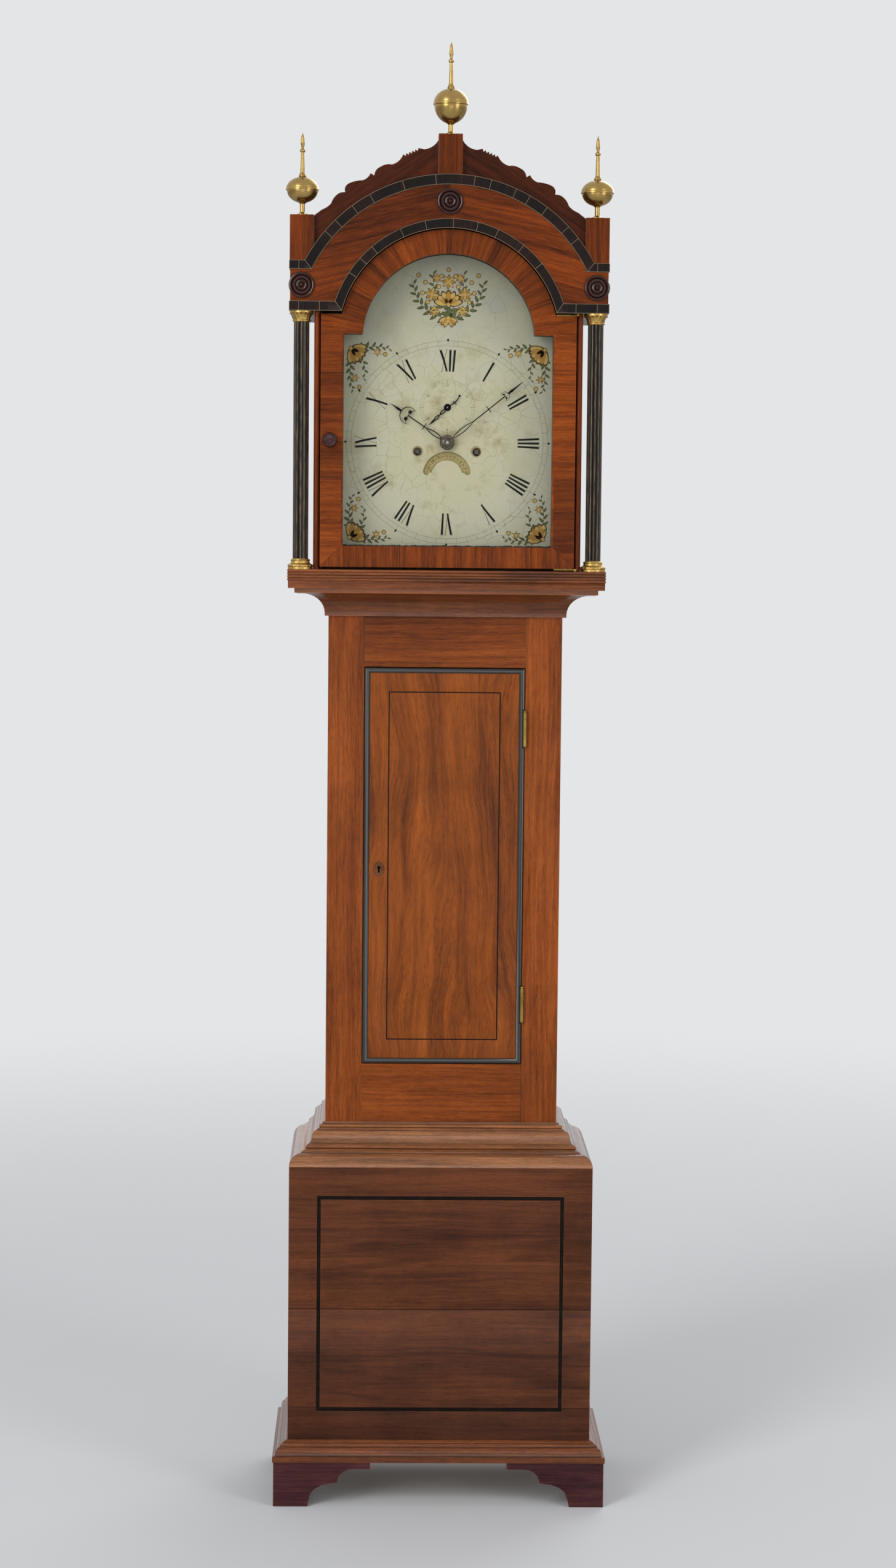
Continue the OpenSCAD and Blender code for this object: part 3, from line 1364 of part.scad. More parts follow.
module pendulum_bob() {
    lens = concat(
        [[0, -bob_t/2]], arc([0, 0], bob_r - 1, bob_t/2, -80, -8, 10),
        [[bob_r, -1.4], [bob_r, 1.4]], arc([0, 0], bob_r - 1, bob_t/2, 8, 80, 10), [[0, bob_t/2]]
    );
    color("darkgoldenrod") translate([0, front(rod_d), z_pivot - pendulum_l]) difference() {
        union() {
            rotate([90, 0, 0]) rotate_extrude() polygon(lens);
            translate([0, 0, -bob_r - 8.3]) cylinder(r = 8, h = 8);
        }
        translate([0, 0, -bob_r - 20]) cylinder(r = rod_r + run_gap, h = 2*bob_r + 40);
    }
}

// WEIGHTS AND LINES

module weight(x) {
    hook_h = 22;
    top = -pulley_r - 10 - hook_h;
    translate([x, front(line_d), z_pulley]) {
        translate([0, 0, top - weight_h]) rotate_extrude() polygon(concat(
            [[0, 0], [weight_r - 2, 0], [weight_r - 2, 3], [weight_r, 4], [weight_r, weight_h - 4],
                [weight_r - 2, weight_h - 3], [weight_r - 4, weight_h], [4, weight_h + 3], [0, weight_h + 3]]
        ));
        translate([-1.5, -1.5, top]) cube([3, 3, hook_h - 2]);
        // Stirrup round the pulley, its pin and the grooved pulley
        translate([-3, -9, -pulley_r - 13]) cube([6, 18, 5]);
        for (s = [-1, 1]) translate([-3, s*7.5 - 1.5, -pulley_r - 12]) cube([6, 3, pulley_r + 18]);
        rotate([90, 0, 0]) translate([0, 0, -7]) cylinder(r = 2, h = 14, $fn = 32);
        rotate([90, 0, 0]) rotate_extrude() polygon([
            [0, -5], [5, -5], [5, -3.5], [pulley_r + 2, -3.5], [pulley_r - line_r - 0.1, -1.2],
            [pulley_r - line_r - 0.1, 1.2], [pulley_r + 2, 3.5], [5, 3.5], [5, 5], [0, 5]
        ]);
    }
}

module going_weight() {
    color("goldenrod") weight(going_line_x + pulley_r);
}

module strike_weight() {
    color("goldenrod") weight(strike_line_x + pulley_r);
}

// A gut line: down from the barrel, under the pulley and up to a knot on the seatboard
module gut_line(x) {
    translate([x + pulley_r, front(line_d), z_pulley]) {
        rotate([90, 0, 0]) rotate([0, 0, 180]) rotate_extrude(angle = 180) translate([pulley_r, 0]) circle(line_r, $fn = 16);
        translate([-pulley_r, 0, 0]) cylinder(r = line_r, h = z_dial + barrel_z - z_pulley, $fn = 16);
        translate([pulley_r, 0, 0]) cylinder(r = line_r, h = z_seat + 2 - z_pulley, $fn = 16);
        translate([pulley_r, 0, z_seat - z_pulley]) cylinder(r = 3, h = 3, $fn = 16);
    }
}

module going_line() {
    color("wheat") gut_line(going_line_x);
}

module strike_line() {
    color("wheat") gut_line(strike_line_x);
}

module seatboard() {
    color("peru") difference() {
        box(-trunk_w/2 + 2, trunk_w/2 - 2, back_t + seat_gap, plate_front_d + plate_t + 8, z_seat - seat_t, z_seat);
        box(-26, 26, rod_d - 9, rod_d + 9, z_seat - seat_t - 1, z_seat + 1);
        for (x = [going_line_x, strike_line_x])
            box(x - 5, x + 5, drum_back + 2, drum_front - 2, z_seat - seat_t - 1, z_seat + 1);
        for (x = [going_line_x, strike_line_x])
            translate([x + 2*pulley_r, front(line_d), z_seat - seat_t - 1]) cylinder(r = 1.5, h = seat_t + 2, $fn = 24);
    }
}

backboard();
trunk_sides();
trunk_front_frame();
trunk_mouldings();
base_front();
base_carcase();
base_stringing();
skirt_moulding();
bracket_feet();
seatboard();
door_hinge_plates();
trunk_door_board();
trunk_door_ebony();
door_lock();
door_hinge_leaves();
lock_bolt();
hood_sides();
hood_base_frame();
hood_frieze();
arch_mouldings();
hood_cresting();
finial_blocks();
roundels();
hood_roof();
column_shafts();
column_brasses();
finials();
dial_mask();
hood_door_frame();
hood_door_glass();
hood_door_knob();
hood_door_straps();
dial();
date_disc();
hour_hand();
minute_hand();
seconds_hand();
movement_frame();
back_cock();
bell();
hammer();
going_barrel();
centre_wheel();
third_wheel();
escape_wheel();
pallet_anchor();
cannon_wheel();
minute_wheel();
hour_wheel();
strike_barrel();
pin_wheel();
gathering_wheel();
warning_wheel();
fly();
pendulum_rod();
pendulum_bob();
going_weight();
strike_weight();
going_line();
strike_line();
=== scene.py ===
import bisect
import math
import random
from collections import namedtuple

import bmesh
import bpy
from mathutils import Matrix, Vector


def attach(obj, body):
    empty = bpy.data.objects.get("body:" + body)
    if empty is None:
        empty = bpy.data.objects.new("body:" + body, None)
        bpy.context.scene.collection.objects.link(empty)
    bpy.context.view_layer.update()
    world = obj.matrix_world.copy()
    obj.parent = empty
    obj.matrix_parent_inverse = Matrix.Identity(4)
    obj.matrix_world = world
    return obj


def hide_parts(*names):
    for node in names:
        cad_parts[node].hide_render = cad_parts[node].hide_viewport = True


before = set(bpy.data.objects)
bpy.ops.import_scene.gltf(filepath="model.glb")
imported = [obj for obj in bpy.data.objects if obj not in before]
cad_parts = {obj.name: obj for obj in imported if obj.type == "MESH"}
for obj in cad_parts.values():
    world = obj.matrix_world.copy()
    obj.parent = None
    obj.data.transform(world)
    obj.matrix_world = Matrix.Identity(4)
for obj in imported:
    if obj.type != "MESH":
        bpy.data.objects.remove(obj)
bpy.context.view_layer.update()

# PLACES ON THE CLOCK, in metres; places on the dial count from its middle
WALL_Y = 0.12925
ARCH_Z = 1.680
COLUMN_X = 0.2085
COLUMN_Y = WALL_Y - 0.226
DIAL_Z = 1.5376
DIAL_FACE = WALL_Y - 0.177
DIAL_EDGE_DOWN = 0.1508
SECONDS_UP = 0.0502
CALENDAR_DOWN = 0.0475
WINDING_X = 0.0425
WINDING_Z = -0.013
LOCK_Z = 0.924
COAT = 0.00001
PAINT_BELOW = 2*COAT
PAINT_ABOVE = 4*COAT
DIAL_MIDDLE = (0.0, DIAL_FACE, DIAL_Z)
SECONDS_MIDDLE = (0.0, DIAL_FACE, DIAL_Z + SECONDS_UP)
CALENDAR_MIDDLE = (0.0, DIAL_FACE + 0.0040, DIAL_Z - CALENDAR_DOWN)
TURN = 2*math.pi
UPRIGHT = (math.pi/2, 0, 0)
NOT_TILTED = (0.0, 0.0, 0.0)
ACROSS, UP = Vector((1, 0, 0)), Vector((0, 0, 1))


# FINISHES

def paint(code):
    """Colour as a painter's chart gives it, turned into the renderer's own scale."""
    parts = [int(code[i:i + 2], 16)/255 for i in (0, 2, 4)]
    return tuple(p/12.92 if p <= 0.04045 else ((p + 0.055)/1.055)**2.4 for p in parts) + (1.0,)


class Tree:
    """A node tree being written: adds nodes, and joins or sets their inputs."""

    def __init__(self, tree, prefix):
        self.tree = tree
        self.prefix = prefix

    def feed(self, socket, value):
        if isinstance(value, bpy.types.NodeSocket):
            self.tree.links.new(value, socket)
        else:
            socket.default_value = paint(value) if isinstance(value, str) else value

    def node(self, kind, inputs, settings):
        node = self.tree.nodes.new(kind if "Node" in kind else self.prefix + kind)
        for key, value in settings.items():
            setattr(node, key, value)
        for key, value in inputs.items():
            self.feed(node.inputs[key], value)
        return node

    def add(self, kind, inputs=None, **settings):
        return self.node(kind, inputs or {}, settings).outputs


class Finish(Tree):
    """A surface finish being mixed: its shader, and short ways to add what feeds it."""

    def __init__(self, name, **uniform):
        self.material = bpy.data.materials.new(name)
        self.material.use_nodes = True
        super().__init__(self.material.node_tree, "ShaderNode")
        self.shader = self.tree.nodes["Principled BSDF"]
        for socket, value in uniform.items():
            self.shader.inputs[socket.replace("_", " ")].default_value = value
        self.place = self.add("TexCoord")["Object"]

    def carried(self, name, output="Fac"):
        return self.add("Attribute", attribute_name=name)[output]

    def scaled(self, vector, *factors):
        return self.add("VectorMath", {0: vector, 1: factors}, operation="MULTIPLY")[0]

    def shifted(self, vector, offset):
        return self.add("VectorMath", {0: vector, 1: offset}, operation="ADD")[0]

    def length(self, vector):
        return self.add("VectorMath", {0: vector}, operation="LENGTH")["Value"]

    def split(self, vector):
        return self.add("SeparateXYZ", {0: vector})

    def joined(self, x, y, z=0.0):
        return self.add("CombineXYZ", {0: x, 1: y, 2: z})[0]

    def cloud(self, vector, scale, detail=3.0, rough=0.55, bend=0.0):
        """Soft noise; a scale of three numbers stretches it."""
        if isinstance(scale, tuple):
            vector, scale = self.scaled(vector, *scale), 1.0
        inputs = {"Vector": vector, "Scale": scale, "Detail": detail, "Roughness": rough, "Distortion": bend}
        return self.add("TexNoise", inputs)[0]

    def calc(self, operation, a, b=0.0, clamp=False):
        return self.add("Math", {0: a, 1: b}, operation=operation, use_clamp=clamp)[0]

    def plus(self, first, *others):
        for other in others:
            first = self.calc("ADD", first, other)
        return first

    def minus(self, a, b):
        return self.calc("SUBTRACT", a, b)

    def times(self, first, *others):
        for other in others:
            first = self.calc("MULTIPLY", first, other)
        return first

    def fade(self, value, low, high, at_low=0.0, at_high=1.0):
        inputs = {"Value": value, "From Min": low, "From Max": high, "To Min": at_low, "To Max": at_high}
        return self.add("MapRange", inputs, clamp=True)[0]

    def mixed(self, factor, a, b, mode="MIX"):
        return self.add("Mix", {0: factor, 6: a, 7: b}, data_type="RGBA", blend_type=mode)[2]

    def ramp(self, value, *stops):
        node = self.node("ValToRGB", {0: value}, {})
        stops = [(position, paint(code)) for position, code in stops]
        points = node.color_ramp.elements
        points[0].position, points[0].color = stops[0]
        points[1].position, points[1].color = stops[-1]
        for position, colour in stops[1:-1]:
            points.new(position).color = colour
        return node.outputs[0]

    def done(self, colour, roughness=None, relief=None, depth=0.0001, strength=0.3, shade=None):
        """Feeds the shader with colour, darkened by shade, roughness and relief."""
        if shade:
            grey = self.add("CombineColor", {0: shade, 1: shade, 2: shade})[0]
            colour = self.mixed(1.0, colour, grey, "MULTIPLY")
        self.feed(self.shader.inputs["Base Color"], colour)
        if roughness:
            self.feed(self.shader.inputs["Roughness"], roughness)
        if relief:
            bump = self.add("Bump", {"Height": relief, "Distance": depth, "Strength": strength})[0]
            self.feed(self.shader.inputs["Normal"], bump)
        return self.material


AXIS_ORDER = {"X": (0, 2, 1), "Y": (1, 2, 0), "Z": (2, 0, 1)}


def wood(name, light, mid, dark, along="boards", sweep=0.0, smoke=0.0, tone=0.3,
         polish=0.1, low=0.32, high=0.5, grime=0.22, contrast=1.0):
    """Polished wood: wandering bands, streaks and short dark pores that follow the grain, under old polish.

    Along is the grain's axis; for "boards" each board carries its own grain and tone, and painted shade in
    its concave corners.
    """
    mix = Finish(name, Coat_Weight=polish, Coat_Roughness=0.14, Coat_IOR=1.4, Specular_IOR_Level=0.1)
    if along == "boards":
        grain, board = mix.carried("grain", "Vector"), mix.carried("tone")
    else:
        split = mix.split(mix.place)
        grain = mix.joined(*(split[k] for k in AXIS_ORDER[along]))
        board = mix.cloud(mix.place, 1.1, 0.0)
    bend = mix.minus(mix.cloud(grain, (2.6, 6, 6), 2), 0.5)
    grain = mix.shifted(grain, mix.joined(0.0, mix.times(bend, 0.018 + sweep)))
    bands = mix.cloud(grain, (1.8, 24, 24), 3)
    streak = mix.cloud(grain, (6, 210, 210), 5, 0.62)
    fibre = mix.cloud(grain, (45, 900, 900), 2, 0.6)
    total = mix.plus(mix.times(bands, 0.38), mix.times(streak, 0.36), mix.times(fibre, 0.26))
    span = 0.12/contrast
    colour = mix.ramp(total, (0.5 - span, dark), (0.5, mid), (0.5 + span, light))
    patch = mix.fade(mix.cloud(mix.place, 7, 4, 0.65), 0.36, 0.56, 1 - grime, 1.0)
    shade = mix.times(mix.fade(board, 0.0, 1.0, 1 - tone, 1 + tone*0.6), patch)
    if smoke:
        figure = mix.cloud(grain, (4.5, 52, 52), 3, 0.5, 0.6)
        shade = mix.times(shade, mix.fade(figure, 0.5, 0.66, 1.0, 1 - smoke))
    pore = mix.fade(mix.cloud(grain, (110, 1500, 1500), 1), 0.6, 0.7)
    shade = mix.times(shade, mix.minus(1.0, mix.times(pore, 0.4)))
    if along == "boards":
        # Painted shade: narrow faces darken towards the concave corners of a moulding's profile.
        shade = mix.times(shade, mix.fade(mix.carried("quirk"), 0.0, 0.9, 1.0, 0.22))
    haze = mix.fade(mix.cloud(mix.place, 26, 5, 0.7), 0.3, 0.7, low, high)
    return mix.done(colour, haze, mix.minus(streak, pore), 0.0002, shade=shade)


def metal(name, bright, dull, low=0.25, high=0.5, tarnish=0.5):
    """Aged metal: tarnish in clouds, fine scratches, small pits."""
    mix = Finish(name, Metallic=1.0)
    cloud = mix.cloud(mix.place, 38, 5, 0.65, 0.4)
    spots = mix.cloud(mix.place, 420, 3, 0.6)
    scratch = mix.cloud(mix.place, (90, 90, 1900), 2, 0.6)
    spotted = mix.fade(spots, 0.55, 0.72, 0, 0.5)
    amount = mix.calc("ADD", mix.fade(cloud, 0.36, 0.66, 0, 0.8), spotted, True)
    amount = mix.calc("MULTIPLY", amount, tarnish, True)
    scratched = mix.fade(scratch, 0.4, 0.7, 0, 0.12)
    rough = mix.calc("ADD", mix.fade(amount, 0, 1, low, high), scratched, True)
    height = mix.plus(mix.times(scratch, 0.3), mix.times(spots, 0.5))
    return mix.done(mix.mixed(amount, bright, dull), rough, height, 0.00006, 0.5)


def dab(name, main, worn, wear=0.25, roughness=0.55, size=1.0):
    """Hand-laid paint with rubbed places."""
    mix = Finish(name, Roughness=roughness, Specular_IOR_Level=0.12)
    body = mix.cloud(mix.place, 60*size, 4, 0.6)
    rub = mix.cloud(mix.place, 900*size, 4, 0.7)
    thin = mix.times(mix.fade(rub, 0.5, 0.66), mix.fade(body, 0.35, 0.6, 0.3, 1.0))
    colour = mix.mixed(mix.times(thin, wear), main, worn)
    return mix.done(colour, None, rub, 0.00003, 0.4, mix.fade(body, 0.3, 0.7, 0.82, 1.12))


def dial_enamel(name):
    """Cream paint on iron: yellower in the middle, darker at the edge, fine cracks, stains and chips."""
    mix = Finish(name, Coat_Weight=0.15, Coat_Roughness=0.3)
    place = mix.place
    middle = mix.shifted(place, (0, 0, -DIAL_Z))
    flat = mix.scaled(middle, 1, 0, 1)
    reach = mix.length(flat)
    colour = mix.ramp(reach, (0.0, "bdb594"), (0.085, "bfbba0"), (0.13, "bcb9a4"), (0.21, "a3a294"))
    mottle = mix.cloud(place, 30, 5, 0.65)
    colour = mix.mixed(mix.fade(mottle, 0.35, 0.7, 0, 0.55), colour, "b9b48a")
    split = mix.split(place)
    sheet = mix.joined(split[0], split[2])
    wobble = mix.add("TexNoise", {"Vector": place, "Scale": 42, "Detail": 3.0})[1]
    bent = {0: wobble, 1: (0.016, 0.016, 0), 2: sheet}
    warped = mix.add("VectorMath", bent, operation="MULTIPLY_ADD")[0]
    crack = mix.add("TexVoronoi", {"Vector": warped, "Scale": 52.0}, feature="DISTANCE_TO_EDGE",
                       voronoi_dimensions="2D")[0]
    cracked = mix.fade(mix.cloud(place, 13), 0.43, 0.58)
    line = mix.times(mix.fade(crack, 0.001, 0.022, 1, 0), cracked)
    stain = mix.fade(mix.cloud(mix.shifted(place, (0.31, 0, 0.17)), 19, 5, 0.7), 0.52, 0.66)
    stain = mix.times(stain, mix.fade(reach, 0.08, 0.15, 0.6, 0.2))
    colour = mix.mixed(stain, colour, "8c7744")
    colour = mix.mixed(mix.times(line, 0.6), colour, "6a5f40")
    for x, z, near, far, strength in (
        (WINDING_X, WINDING_Z, 0.0062, 0.0082, 0.7), (-WINDING_X, WINDING_Z, 0.0062, 0.0082, 0.7),
        (0, 0, 0.009, 0.016, 0.3)
    ):
        away = mix.length(mix.shifted(flat, (-x, 0, -z)))
        away = mix.plus(away, mix.times(mix.minus(mottle, 0.5), 0.012))
        colour = mix.mixed(mix.fade(away, near, far, strength, 0), colour, "6b4a26")
    lower_edge = mix.fade(mix.plus(mix.split(middle)[2], DIAL_EDGE_DOWN), 0.0, 0.009, 1, 0)
    chip = mix.fade(mix.plus(lower_edge, mix.times(mix.cloud(place, 85, 5, 0.7), 0.7)), 0.93, 1.0)
    colour = mix.mixed(chip, colour, "231f1a")
    rough = mix.fade(mottle, 0.3, 0.7, 0.34, 0.55)
    return mix.done(colour, rough, mix.minus(mottle, line), 0.00012, 0.35)


def ebony(name, black, brown, polish, wear, gloss):
    """Black-stained wood rubbed through to brown."""
    mix = Finish(name, Coat_Weight=polish, Coat_Roughness=0.12, Coat_IOR=1.35 + gloss,
                 Specular_IOR_Level=gloss)
    rub = mix.cloud(mix.place, 55, 5, 0.7)
    fine = mix.cloud(mix.place, (900, 900, 60), 3, 0.6)
    amount = mix.times(mix.fade(mix.plus(rub, mix.times(fine, 0.25)), 0.6, 0.8), wear)
    return mix.done(mix.mixed(amount, black, brown), mix.fade(rub, 0.3, 0.7, 0.25, 0.5), fine)


def glass(name):
    """Old clear window glass with a faint green tint and slow ripples."""
    mix = Finish(name, Transmission_Weight=1.0, IOR=1.12)
    place = mix.place
    tint = mix.mixed(mix.cloud(place, 5, 2), "fefefd", "fbfdfb")
    rough = mix.fade(mix.cloud(place, 12), 0.3, 0.8, 0.0, 0.03)
    return mix.done(tint, rough, mix.cloud(place, 9, 2), 0.0004, 0.12)


def twisted_gut(name, light, dark):
    mix = Finish(name, Roughness=0.5)
    twist = mix.add("TexWave", {"Vector": mix.place, "Scale": 900, "Distortion": 1.5, "Detail": 2.0},
                       wave_type="BANDS", bands_direction="DIAGONAL")["Fac"]
    worn = mix.fade(mix.cloud(mix.place, 90), 0.4, 0.7, 0, 0.4)
    return mix.done(mix.mixed(worn, mix.mixed(twist, dark, light), dark), None, twist, strength=0.6)


def reeded(name, black, brown, crest, reach):
    """Black-stained reeds whose tops are pale gold, partly worn through and partly a painted highlight: tops
    lie farthest from the column's middle.
    """
    mix = Finish(name, Coat_Weight=0.5, Coat_Roughness=0.12, Coat_IOR=1.4, Specular_IOR_Level=0.1)
    split = mix.split(mix.place)
    across = mix.minus(mix.calc("ABSOLUTE", split[0]), COLUMN_X)
    away = mix.length(mix.joined(across, mix.minus(split[1], COLUMN_Y)))
    rub = mix.cloud(mix.place, (500, 500, 45), 4, 0.65)
    top = mix.plus(away, mix.times(mix.minus(rub, 0.5), 0.0011))
    # Painted highlight and wear: every reed's top is made pale gold, whichever way the light falls.
    worn = mix.fade(top, reach - 0.00022, reach + 0.00012, 0, 0.6)
    base = mix.mixed(mix.fade(rub, 0.5, 0.7), black, brown)
    return mix.done(mix.mixed(worn, base, crest), mix.fade(rub, 0.3, 0.7, 0.3, 0.5), rub)


def wheelwork(name, x, z, steel_radius, steel="a7a7a5", clean="c9a35c", dull="967640"):
    """Metal of a turning part with another metal close to its axis: brass wheels on steel arbors."""
    mix = Finish(name, Metallic=1.0)
    away = mix.length(mix.scaled(mix.shifted(mix.place, (-x, 0, -DIAL_Z - z)), 1, 0, 1))
    inner = mix.fade(away, steel_radius - 0.0001, steel_radius + 0.0001, 1, 0)
    brass = mix.mixed(mix.fade(mix.cloud(mix.place, 60, 4, 0.6), 0.4, 0.66), clean, dull)
    circles = mix.cloud(mix.place, (700, 60, 700), 2)
    rough = mix.fade(circles, 0.35, 0.65, 0.22, 0.38)
    return mix.done(mix.mixed(inner, brass, steel), rough, circles, 0.00004, 0.4)


SAWN = {"polish": 0.0, "low": 0.6, "high": 0.85, "grime": 0.45}

MAHOGANY = wood("mahogany", "ae5a20", "8f4513", "602b0a")
# Lighter finish for rounded edges: partly rubbed wear, partly a painted highlight.
MAHOGANY_EDGE_WEAR_AND_HIGHLIGHT = wood("mahogany_rubbed", "b5692a", "94511f", "633213", polish=0.3)
FLAME = wood("flame_mahogany", "ab5a1c", "8f4814", "65300e", sweep=0.09, tone=0.1, smoke=0.28, contrast=0.85)
HOOD_WOOD = wood("hood_mahogany", "8f4010", "6f3009", "3f1804", contrast=1.1)
# Lighter finish for rounded edges: partly rubbed wear, partly a painted highlight.
HOOD_EDGE_WEAR_AND_HIGHLIGHT = wood("hood_mahogany_rubbed", "9a5620", "7a3f16", "4c270b", polish=0.3)
DOOR_CROSS = wood("crossbanded_mahogany", "9c4b12", "7d380b", "4b2004", tone=0.34, smoke=0.3)
BASE_WOOD = wood("base_mahogany", "764125", "60351f", "47251a", smoke=0.34, contrast=0.75, grime=0.3)
# Lighter finish for rounded edges: partly rubbed wear, partly a painted highlight.
BASE_EDGE_WEAR_AND_HIGHLIGHT = wood("base_mahogany_rubbed", "95603a", "774729", "4c2a1a", polish=0.3)
MOULD_WOOD = wood("moulding_mahogany", "96542a", "763f1f", "4c2815", polish=0.6, low=0.22, high=0.36)
WAIST_WOOD = wood("waist_mahogany", "b77a50", "94603c", "66402a", polish=0.8, low=0.2, high=0.34)
FOOT_WOOD = wood("foot_mahogany", "5f3530", "47252a", "2b1519")
CREST_WOOD = wood("crest_mahogany", "70320f", "522109", "2f1103")
DARK_TURNED = wood("turned_mahogany", "5a2a1d", "3d1b12", "200e09", polish=0.9, low=0.2, high=0.32)
CARCASE_X = wood("pine_across", "a9834d", "886236", "5b4020", along="X", **SAWN)
CARCASE_Z = wood("pine_upright", "a97d4c", "885f37", "583a1e", along="Z", **SAWN)
CARCASE_Y = wood("pine_deep", "a27e4b", "825f35", "533a1d", along="Y", **SAWN)
BANDING = wood("dark_banding", "2f180c", "180c07", "080403", tone=0.5, polish=0.3, low=0.22, high=0.4)
BEAD = ebony("ebonised_bead", "0a0807", "25150b", 1.0, 0.25, 0.2)
STRING = ebony("inlaid_string", "120b08", "2c190c", 0.05, 0.4, 0.06)
REED = reeded("reed_black", "0a0706", "22150e", "8f7650", 0.011)
JOINT = dab("glue_line", "1d0f08", "3a2112", 0.5, 0.6)
# Pale lines on the dark bands: a painted highlight on their rounded edges, and pale joints between their
# pieces.
EDGE_HIGHLIGHT_AND_JOINT_LINE = dab("pale_line", "8f7d64", "5a4936", 0.6, 0.5)
BRASS = metal("brass", "c9a35c", "8c6d39", 0.22, 0.4, 0.6)
OLD_BRASS = metal("old_brass", "a68848", "5c4722", 0.3, 0.5, 0.8)
PLATE_BRASS = metal("plate_brass", "7d5238", "3c2318", 0.34, 0.55, 0.8)
BALL_BRASS = metal("ball_brass", "b5975b", "7a6034", 0.2, 0.36, 0.5)
LEAF_BRASS = metal("pressed_brass", "c6a45e", "6f5527", 0.28, 0.45, 0.5)
STEEL = metal("steel", "a9a8a4", "5c5a57", 0.25, 0.5, 0.6)
BLUED = metal("blued_steel", "1d1917", "0d0b0b", 0.35, 0.5, 0.7)
BELL = metal("bell_metal", "b8a268", "746239", 0.2, 0.4, 0.6)
ENAMEL = dial_enamel("dial_enamel")
NUMERAL = dab("numeral_black", "0c0b09", "57533f", 0.25)
HAIRLINE = dab("hairline_grey", "3f3a2b", "8f8b72", 0.6)
OCHRE = dab("ochre", "a67c38", "c0a263", 0.5)
GOLD = dab("pale_gold", "bd9d58", "cdbb82", 0.5)
LEAF = dab("leaf_green", "566239", "838a60", 0.5)
UMBER = dab("umber_line", "45301a", "7c6a45", 0.45)
CALENDAR = dab("calendar_buff", "ab9b68", "7a6a40", 0.6, size=0.4)
MASK = dab("mask_brown", "3a2a1d", "6b543a", 0.4, size=0.5)
GLASS = glass("window_glass")
KNOB = wood("knob_stain", "571c12", "3b0f0a", "1d0605", along="Y", polish=0.9, low=0.16, high=0.28)
GUT = twisted_gut("gut", "b3945a", "5d4422")


# MAKING PIECES

def stand(name, data):
    """Puts a mesh, light, camera or text in the scene as an object."""
    thing = bpy.data.objects.new(name, data)
    bpy.context.scene.collection.objects.link(thing)
    return thing


def mesh_of(name, form):
    """Turns a working form into a mesh and frees the form."""
    mesh = bpy.data.meshes.new(name)
    form.to_mesh(mesh)
    form.free()
    return mesh


def take_in(form, mesh):
    """Adds a mesh to a working form and removes the mesh."""
    form.from_mesh(mesh)
    bpy.data.meshes.remove(mesh)


def copy_of(node):
    """Working copy of a carried solid, with its loose triangles joined and its flat faces whole."""
    form = bmesh.new()
    form.from_mesh(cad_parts[node].data)
    bmesh.ops.remove_doubles(form, verts=form.verts, dist=2e-6)
    bmesh.ops.dissolve_limit(form, angle_limit=math.radians(0.4), verts=form.verts, edges=form.edges)
    loose = [v for v in form.verts if not v.link_faces]
    bmesh.ops.delete(form, geom=loose, context="VERTS")
    return form


def boards_of(form):
    """The loose boards of a form, each as a list of faces."""
    seen, boards = set(), []
    for start in form.faces:
        if start in seen:
            continue
        seen.add(start)
        board, queue = [], [start]
        while queue:
            face = queue.pop()
            board.append(face)
            for other in (near for edge in face.edges for near in edge.link_faces if near not in seen):
                seen.add(other)
                queue.append(other)
        boards.append(board)
    return boards


def ease(form, width):
    """Rounds the sharp edges of each board, and gives the rounded strip finish number 1, lighter than the
    board: partly rubbed wear, partly a painted highlight.
    """
    sharp = math.radians(26)
    for board in boards_of(form):
        edges = {edge for face in board for edge in face.edges}
        edges = [edge for edge in edges if edge.is_manifold and edge.calc_face_angle(0) > sharp]
        bmesh.ops.bevel(form, geom=edges, offset=width, offset_type="OFFSET", segments=2, profile=0.5,
                        affect="EDGES", clamp_overlap=True, material=1)


def lengthwise(*order):
    """Grain along one axis: the order in which a place's X, Y and Z are read."""
    return lambda co: [co[i] for i in order]


def lay_grain(form, seed, rule=None):
    """Writes on each board its own grain direction, place in the tree, tone, and painted shade in its concave
    corners.

    A rule gives, for a face, its grain's direction, its tone or None, and the number of its board.
    """
    chance = random.Random(seed)
    grain = form.loops.layers.float_vector.new("grain")
    tone = form.loops.layers.float.new("tone")
    quirk = form.loops.layers.float.new("quirk")
    narrow_below = 0.007
    full_quirk = math.radians(70)
    hollow_shade = {}
    for vert in form.verts:
        turns = [-edge.calc_face_angle_signed(0) for edge in vert.link_edges if edge.is_manifold]
        hollow_shade[vert] = min(1.0, max([0.0] + turns)/full_quirk)
    for board in boards_of(form):
        points = [v.co for f in board for v in f.verts]
        spans = [max(p[i] for p in points) - min(p[i] for p in points) for i in range(3)]
        longest_first = sorted(range(3), key=lambda i: -spans[i])
        shift = Vector([chance.uniform(0, 9) for _ in range(3)])
        shade = chance.random()
        for face in board:
            where, offset, value = lengthwise(*longest_first), shift, shade
            if rule:
                where, value, key = rule(face)
                own = random.Random(seed*1000 + key)
                offset = Vector([own.uniform(0, 9) for _ in range(3)])
                if value is None:
                    value = own.random()
            narrow = face.calc_area()/max(edge.calc_length() for edge in face.edges) < narrow_below
            for loop in face.loops:
                # Painted shade: how much a narrow face darkens at a concave corner.
                loop[quirk] = hollow_shade[loop.vert] if narrow else 0.0
                loop[grain] = Vector(where(loop.vert.co)) + offset
                loop[tone] = value


def piece(name, form, finishes, body, slot, stands_for=(), smooth=20):
    """Turns a working form into a finished piece that rides on a body."""
    mesh = mesh_of(name, form)
    for finish in finishes:
        mesh.materials.append(finish)
    mesh.polygons.foreach_set("use_smooth", [True]*len(mesh.polygons))
    mesh.set_sharp_from_angle(angle=math.radians(smooth))
    thing = stand(name, mesh)
    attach(thing, body)
    if stands_for:
        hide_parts(*stands_for)


